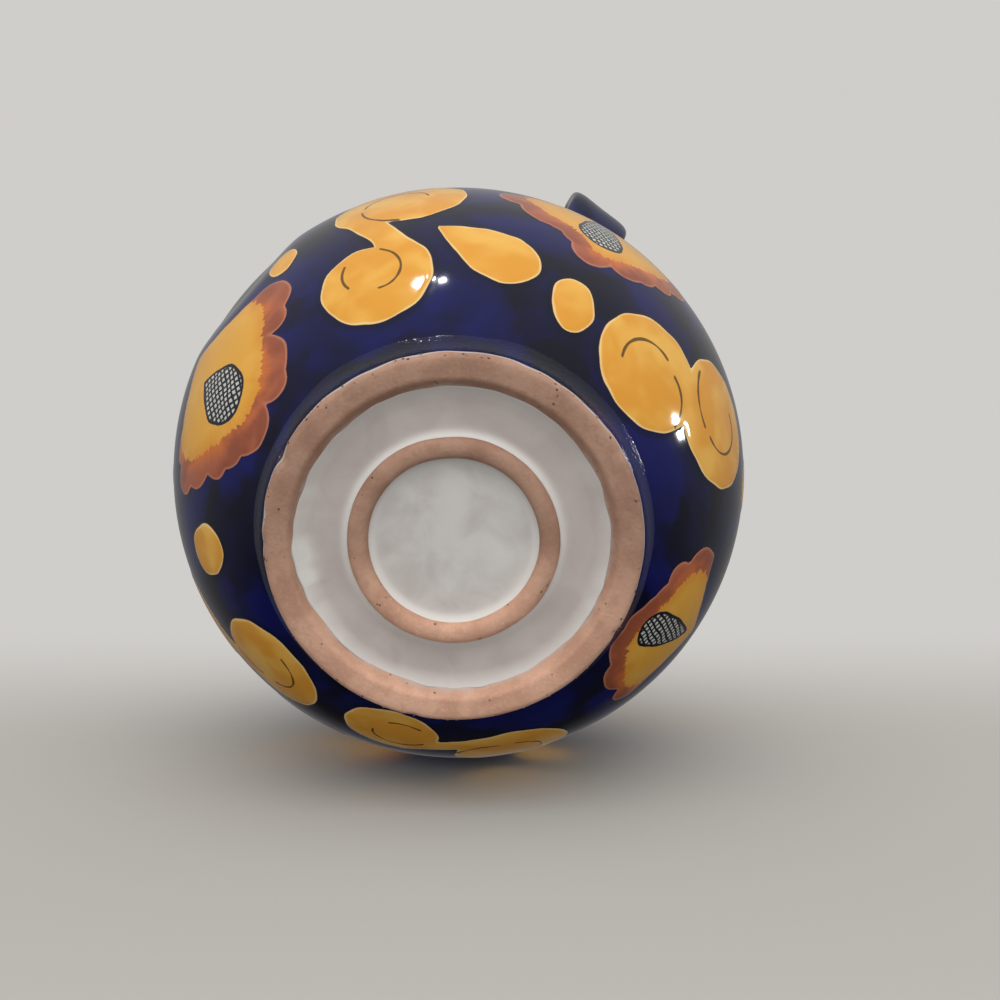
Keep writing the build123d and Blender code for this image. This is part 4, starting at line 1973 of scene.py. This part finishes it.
@dataclass(frozen=True)
class PhotoView:
    """The photograph's camera, set against the jar's ball, and how the photographed jar lies.

    Angles are in degrees. The up turn is the jar's direction that is up in the photograph, and the
    rest tilt is how far its table slopes away from the jar's axis.
    """

    focal_px: float = 1250.0
    frame_px: float = 1000.0
    ball_px: Point = (460.6, 473.9)
    distance_radii: float = 4.5
    tilt: float = 14.1
    heading: float = 88.2
    up_turn: float = 148.0
    rest_tilt: float = 10.0
    sensor_mm: float = 36.0
    nearest_m: float = 0.01

    @property
    def up(self) -> Vector:
        """The jar's direction that is up in the photograph."""
        return Vector((math.cos(math.radians(self.up_turn)), math.sin(math.radians(self.up_turn)), 0.0))

    def camera(self, form: JarForm) -> None:
        """Sets the camera, below the foot, as the photograph has it."""
        tilt, heading = math.radians(self.tilt), math.radians(self.heading)
        lean = math.sin(tilt)
        away = Vector((-lean * math.cos(heading), -lean * math.sin(heading), math.cos(tilt)))
        up = Vector((0.0, -1.0, 0.0))
        up = (up - up.dot(away) * away).normalized()
        right = away.cross(up)
        jar_axes = (self.up, Vector((0.0, 0.0, 1.0)).cross(self.up), Vector((0.0, 0.0, 1.0)))

        def in_frame(seen: Vector) -> Vector:
            """A direction seen by the camera, in the jar's frame."""
            parts = (seen.dot(up), seen.dot(right), seen.dot(away))
            return sum((axis * part for axis, part in zip(jar_axes, parts)), Vector())

        distance = self.distance_radii * form.belly_radius * MM
        middle = self.frame_px / 2
        shift = [(pixel - middle) / self.focal_px * distance for pixel in self.ball_px]
        data = bpy.data.cameras.new("photo_camera")
        data.sensor_width = self.sensor_mm
        data.lens = self.sensor_mm * self.focal_px / self.frame_px
        data.clip_start = self.nearest_m
        camera = add_object("photo_camera", data)
        ball = Vector((0.0, 0.0, form.belly_height * MM))
        axes = [in_frame(Vector(axis)) for axis in ((1, 0, 0), (0, -1, 0), (0, 0, -1))]
        turn = Matrix(axes).transposed().to_4x4()
        camera.matrix_world = Matrix.Translation(ball - in_frame(Vector((*shift, distance)))) @ turn
        bpy.context.scene.camera = camera


@dataclass(frozen=True)
class Sheet:
    """A plain sheet that the jar rests on, which fades into the backdrop away from the jar.

    The fade goes by distance in metres from the origin along the axes that it counts.
    """

    name: str
    middle: Vector
    normal: Vector
    along: Vector
    tone: Colour
    fade_axes: Triple
    fade: Span
    half_size_m: float = 3.0


@dataclass(frozen=True)
class Lamp:
    """A round lamp: the direction from the jar to it, its distance and width in metres, and its watts.

    A lamp that gleams is only mirrored in the glaze, and any other one only lights.
    """

    name: str
    heading: Triple
    distance: float
    size: float
    power: float
    gleams: bool = False


@dataclass(frozen=True)
class Stage:
    """A plain pale floor under the upright jar, a plain pale table under the lying one, and soft light."""

    form: JarForm
    view: PhotoView
    floor_tone: Colour = (0.60, 0.585, 0.56)
    table_tone: Colour = (0.50, 0.49, 0.47)
    backdrop: Colour = (0.63, 0.615, 0.59)
    light_tone: Colour = (1.0, 0.985, 0.96)
    floor_gap: float = 0.3
    table_gap: float = 0.8
    floor_fade: Span = (0.25, 0.9)
    table_fade: Span = (0.08, 0.34)
    lamps: tuple[Lamp, ...] = (
        Lamp("front_key", (0.45, -0.45, 0.77), 1.0, 0.55, 7.5),
        Lamp("spark_top", (-0.733, 0.678, -0.038), 1.6, 0.13, 5.0, True),
        Lamp("spark_top_small", (-0.80, 0.598, -0.02), 1.6, 0.06, 1.1, True),
        Lamp("spark_side", (-0.699, -0.708, 0.101), 1.6, 0.11, 4.0, True),
        Lamp("spark_side_small", (-0.655, -0.748, 0.105), 1.6, 0.07, 1.5, True),
    )

    @property
    def ball(self) -> Vector:
        """The middle of the belly."""
        return Vector((0.0, 0.0, self.form.belly_height * MM))

    def build(self) -> None:
        """Sets the two sheets, the world and the lamps."""
        for sheet in self.sheets():
            self._lay(sheet)
        self._world()
        for lamp in self.lamps:
            self._hang(lamp)

    def sheets(self) -> list[Sheet]:
        """The floor under the foot, and the table that the photographed jar lies on."""
        up, side = Vector((0.0, 0.0, 1.0)), Vector((1.0, 0.0, 0.0))
        tilt = math.radians(self.view.rest_tilt)
        normal = self.view.up * math.cos(tilt) + up * math.sin(tilt)
        contact = self.ball - normal * (self.form.belly_radius + self.table_gap) * MM
        away = (up - normal * normal.z).normalized()
        under = up * -self.floor_gap * MM
        return [
            Sheet("floor", under, up, side, self.floor_tone, (1.0, 1.0, 0.0), self.floor_fade),
            Sheet("table", contact, normal, away, self.table_tone, (0.0, 0.0, 1.0), self.table_fade),
        ]

    def _lay(self, sheet: Sheet) -> None:
        """Adds a one-sided sheet that only the camera sees, so that it takes shadows and gives none."""
        long = sheet.along * sheet.half_size_m
        wide = sheet.normal.cross(sheet.along) * sheet.half_size_m
        corners = [sheet.middle + long * i + wide * j for i, j in ((-1, -1), (1, -1), (1, 1), (-1, 1))]
        mesh = bpy.data.meshes.new(sheet.name)
        mesh.from_pydata([tuple(corner) for corner in corners], [], [(0, 1, 2, 3)])
        mesh.update()
        mesh.materials.append(self._sheet_finish(sheet))
        plane = add_object(sheet.name, mesh)
        for ray in ("diffuse", "glossy", "transmission", "shadow"):
            setattr(plane, "visible_" + ray, False)

    def _sheet_finish(self, sheet: Sheet) -> Material:
        """A plain tone that fades into the backdrop, and nothing on the back."""
        material = bpy.data.materials.new(sheet.name)
        wire = cleared(material)
        place = wire.node("ShaderNodeTexCoord").outputs["Object"]
        counted = wire.vector("MULTIPLY", place, sheet.fade_axes)
        distance = wire.node("ShaderNodeVectorMath", {0: counted}, operation="LENGTH").outputs["Value"]
        near = wire.node("ShaderNodeBsdfDiffuse", {"Color": opaque(sheet.tone)})
        far = wire.node("ShaderNodeEmission", {"Color": opaque(self.backdrop)})
        inputs = {0: wire.remap(distance, *sheet.fade), 1: near.outputs[0], 2: far.outputs[0]}
        faded = wire.node("ShaderNodeMixShader", inputs)
        clear = wire.node("ShaderNodeBsdfTransparent")
        back = wire.node("ShaderNodeNewGeometry").outputs["Backfacing"]
        shown = wire.node("ShaderNodeMixShader", {0: back, 1: faded.outputs[0], 2: clear.outputs[0]})
        wire.feed(wire.node("ShaderNodeOutputMaterial").inputs["Surface"], shown.outputs[0])
        return material

    def _world(self) -> None:
        """Soft light from all round, brighter from the photograph's top, with a plain pale backdrop.

        The fill, with a broad main light in it, lights the jar, and the gleam is mirrored in the glaze.
        """
        world = bpy.data.worlds.new("studio")
        wire = cleared(world)
        direction = wire.node("ShaderNodeTexCoord").outputs["Generated"]
        over = wire.dot(direction, tuple(self.view.up))
        above = wire.dot(direction, (0.0, 0.0, 1.0))
        heading = self.view.up * 0.85 + Vector((0.0, 0.0, -0.5))
        towards = wire.math("MAXIMUM", wire.dot(direction, tuple(heading.normalized())), 0.0)
        main_light = wire.times(wire.math("POWER", towards, 6.0), 1.8)
        fill = wire.plus(wire.plus(wire.times(over, 0.36), 0.44), main_light)
        gleam = wire.plus(wire.times(over, 0.32), 0.20)
        gleam = wire.plus(gleam, wire.times(above, 0.14))
        gleam = wire.math("MAXIMUM", gleam, 0.02)
        path = wire.node("ShaderNodeLightPath").outputs
        level = wire.node("ShaderNodeMix", {0: path["Is Glossy Ray"], 2: fill, 3: gleam}).outputs[0]
        light = wire.node("ShaderNodeBackground", {"Color": opaque(self.light_tone), "Strength": level})
        drop = wire.node("ShaderNodeBackground", {"Color": opaque(self.backdrop), "Strength": 1.0})
        inputs = {0: path["Is Camera Ray"], 1: light.outputs[0], 2: drop.outputs[0]}
        both = wire.node("ShaderNodeMixShader", inputs)
        wire.feed(wire.node("ShaderNodeOutputWorld").inputs["Surface"], both.outputs[0])
        bpy.context.scene.world = world

    def _hang(self, lamp: Lamp) -> None:
        """Adds one lamp that points at the jar and isn't seen itself."""
        data = bpy.data.lights.new(lamp.name, "AREA")
        data.shape = "DISK"
        data.size = lamp.size
        data.energy = lamp.power
        hung = add_object(lamp.name, data)
        heading = Vector(lamp.heading).normalized()
        hung.location = self.ball + heading * lamp.distance
        hung.rotation_mode = "QUATERNION"
        hung.rotation_quaternion = heading.to_track_quat("Z", "Y")
        hung.visible_camera = False
        hung.visible_glossy = lamp.gleams
        hung.visible_diffuse = not lamp.gleams


def main() -> None:
    """Builds the jar's pieces in order, then the camera, the stage and the light."""
    logging.basicConfig(level=logging.INFO, format="%(message)s")
    bpy.context.scene.view_settings.view_transform = "Standard"
    form = JarForm.from_frame()
    glaze, clay, white = CobaltGlaze(), BareClay(), WhiteGlaze()
    view = PhotoView()
    view.camera(form)
    JarWall(form, glaze).build()
    Lip(form, glaze, white).build()
    Lining(form, white).build()
    FootRing(form, clay, glaze).build()
    InnerRing(form, clay).build()
    GlazeBetween(form, white).build()
    GlazeMiddle(form, white).build()
    Grit(clay).build()
    strap = glaze.plain("strap_glaze")
    StrapHandle(form, strap, "strap_right", "handle_right", 1, -0.03, -0.4).build()
    StrapHandle(form, strap, "strap_left", "handle_left", -1, 0.08, 1.6).build()
    Stage(form, view).build()


if __name__ == "__main__":
    main()
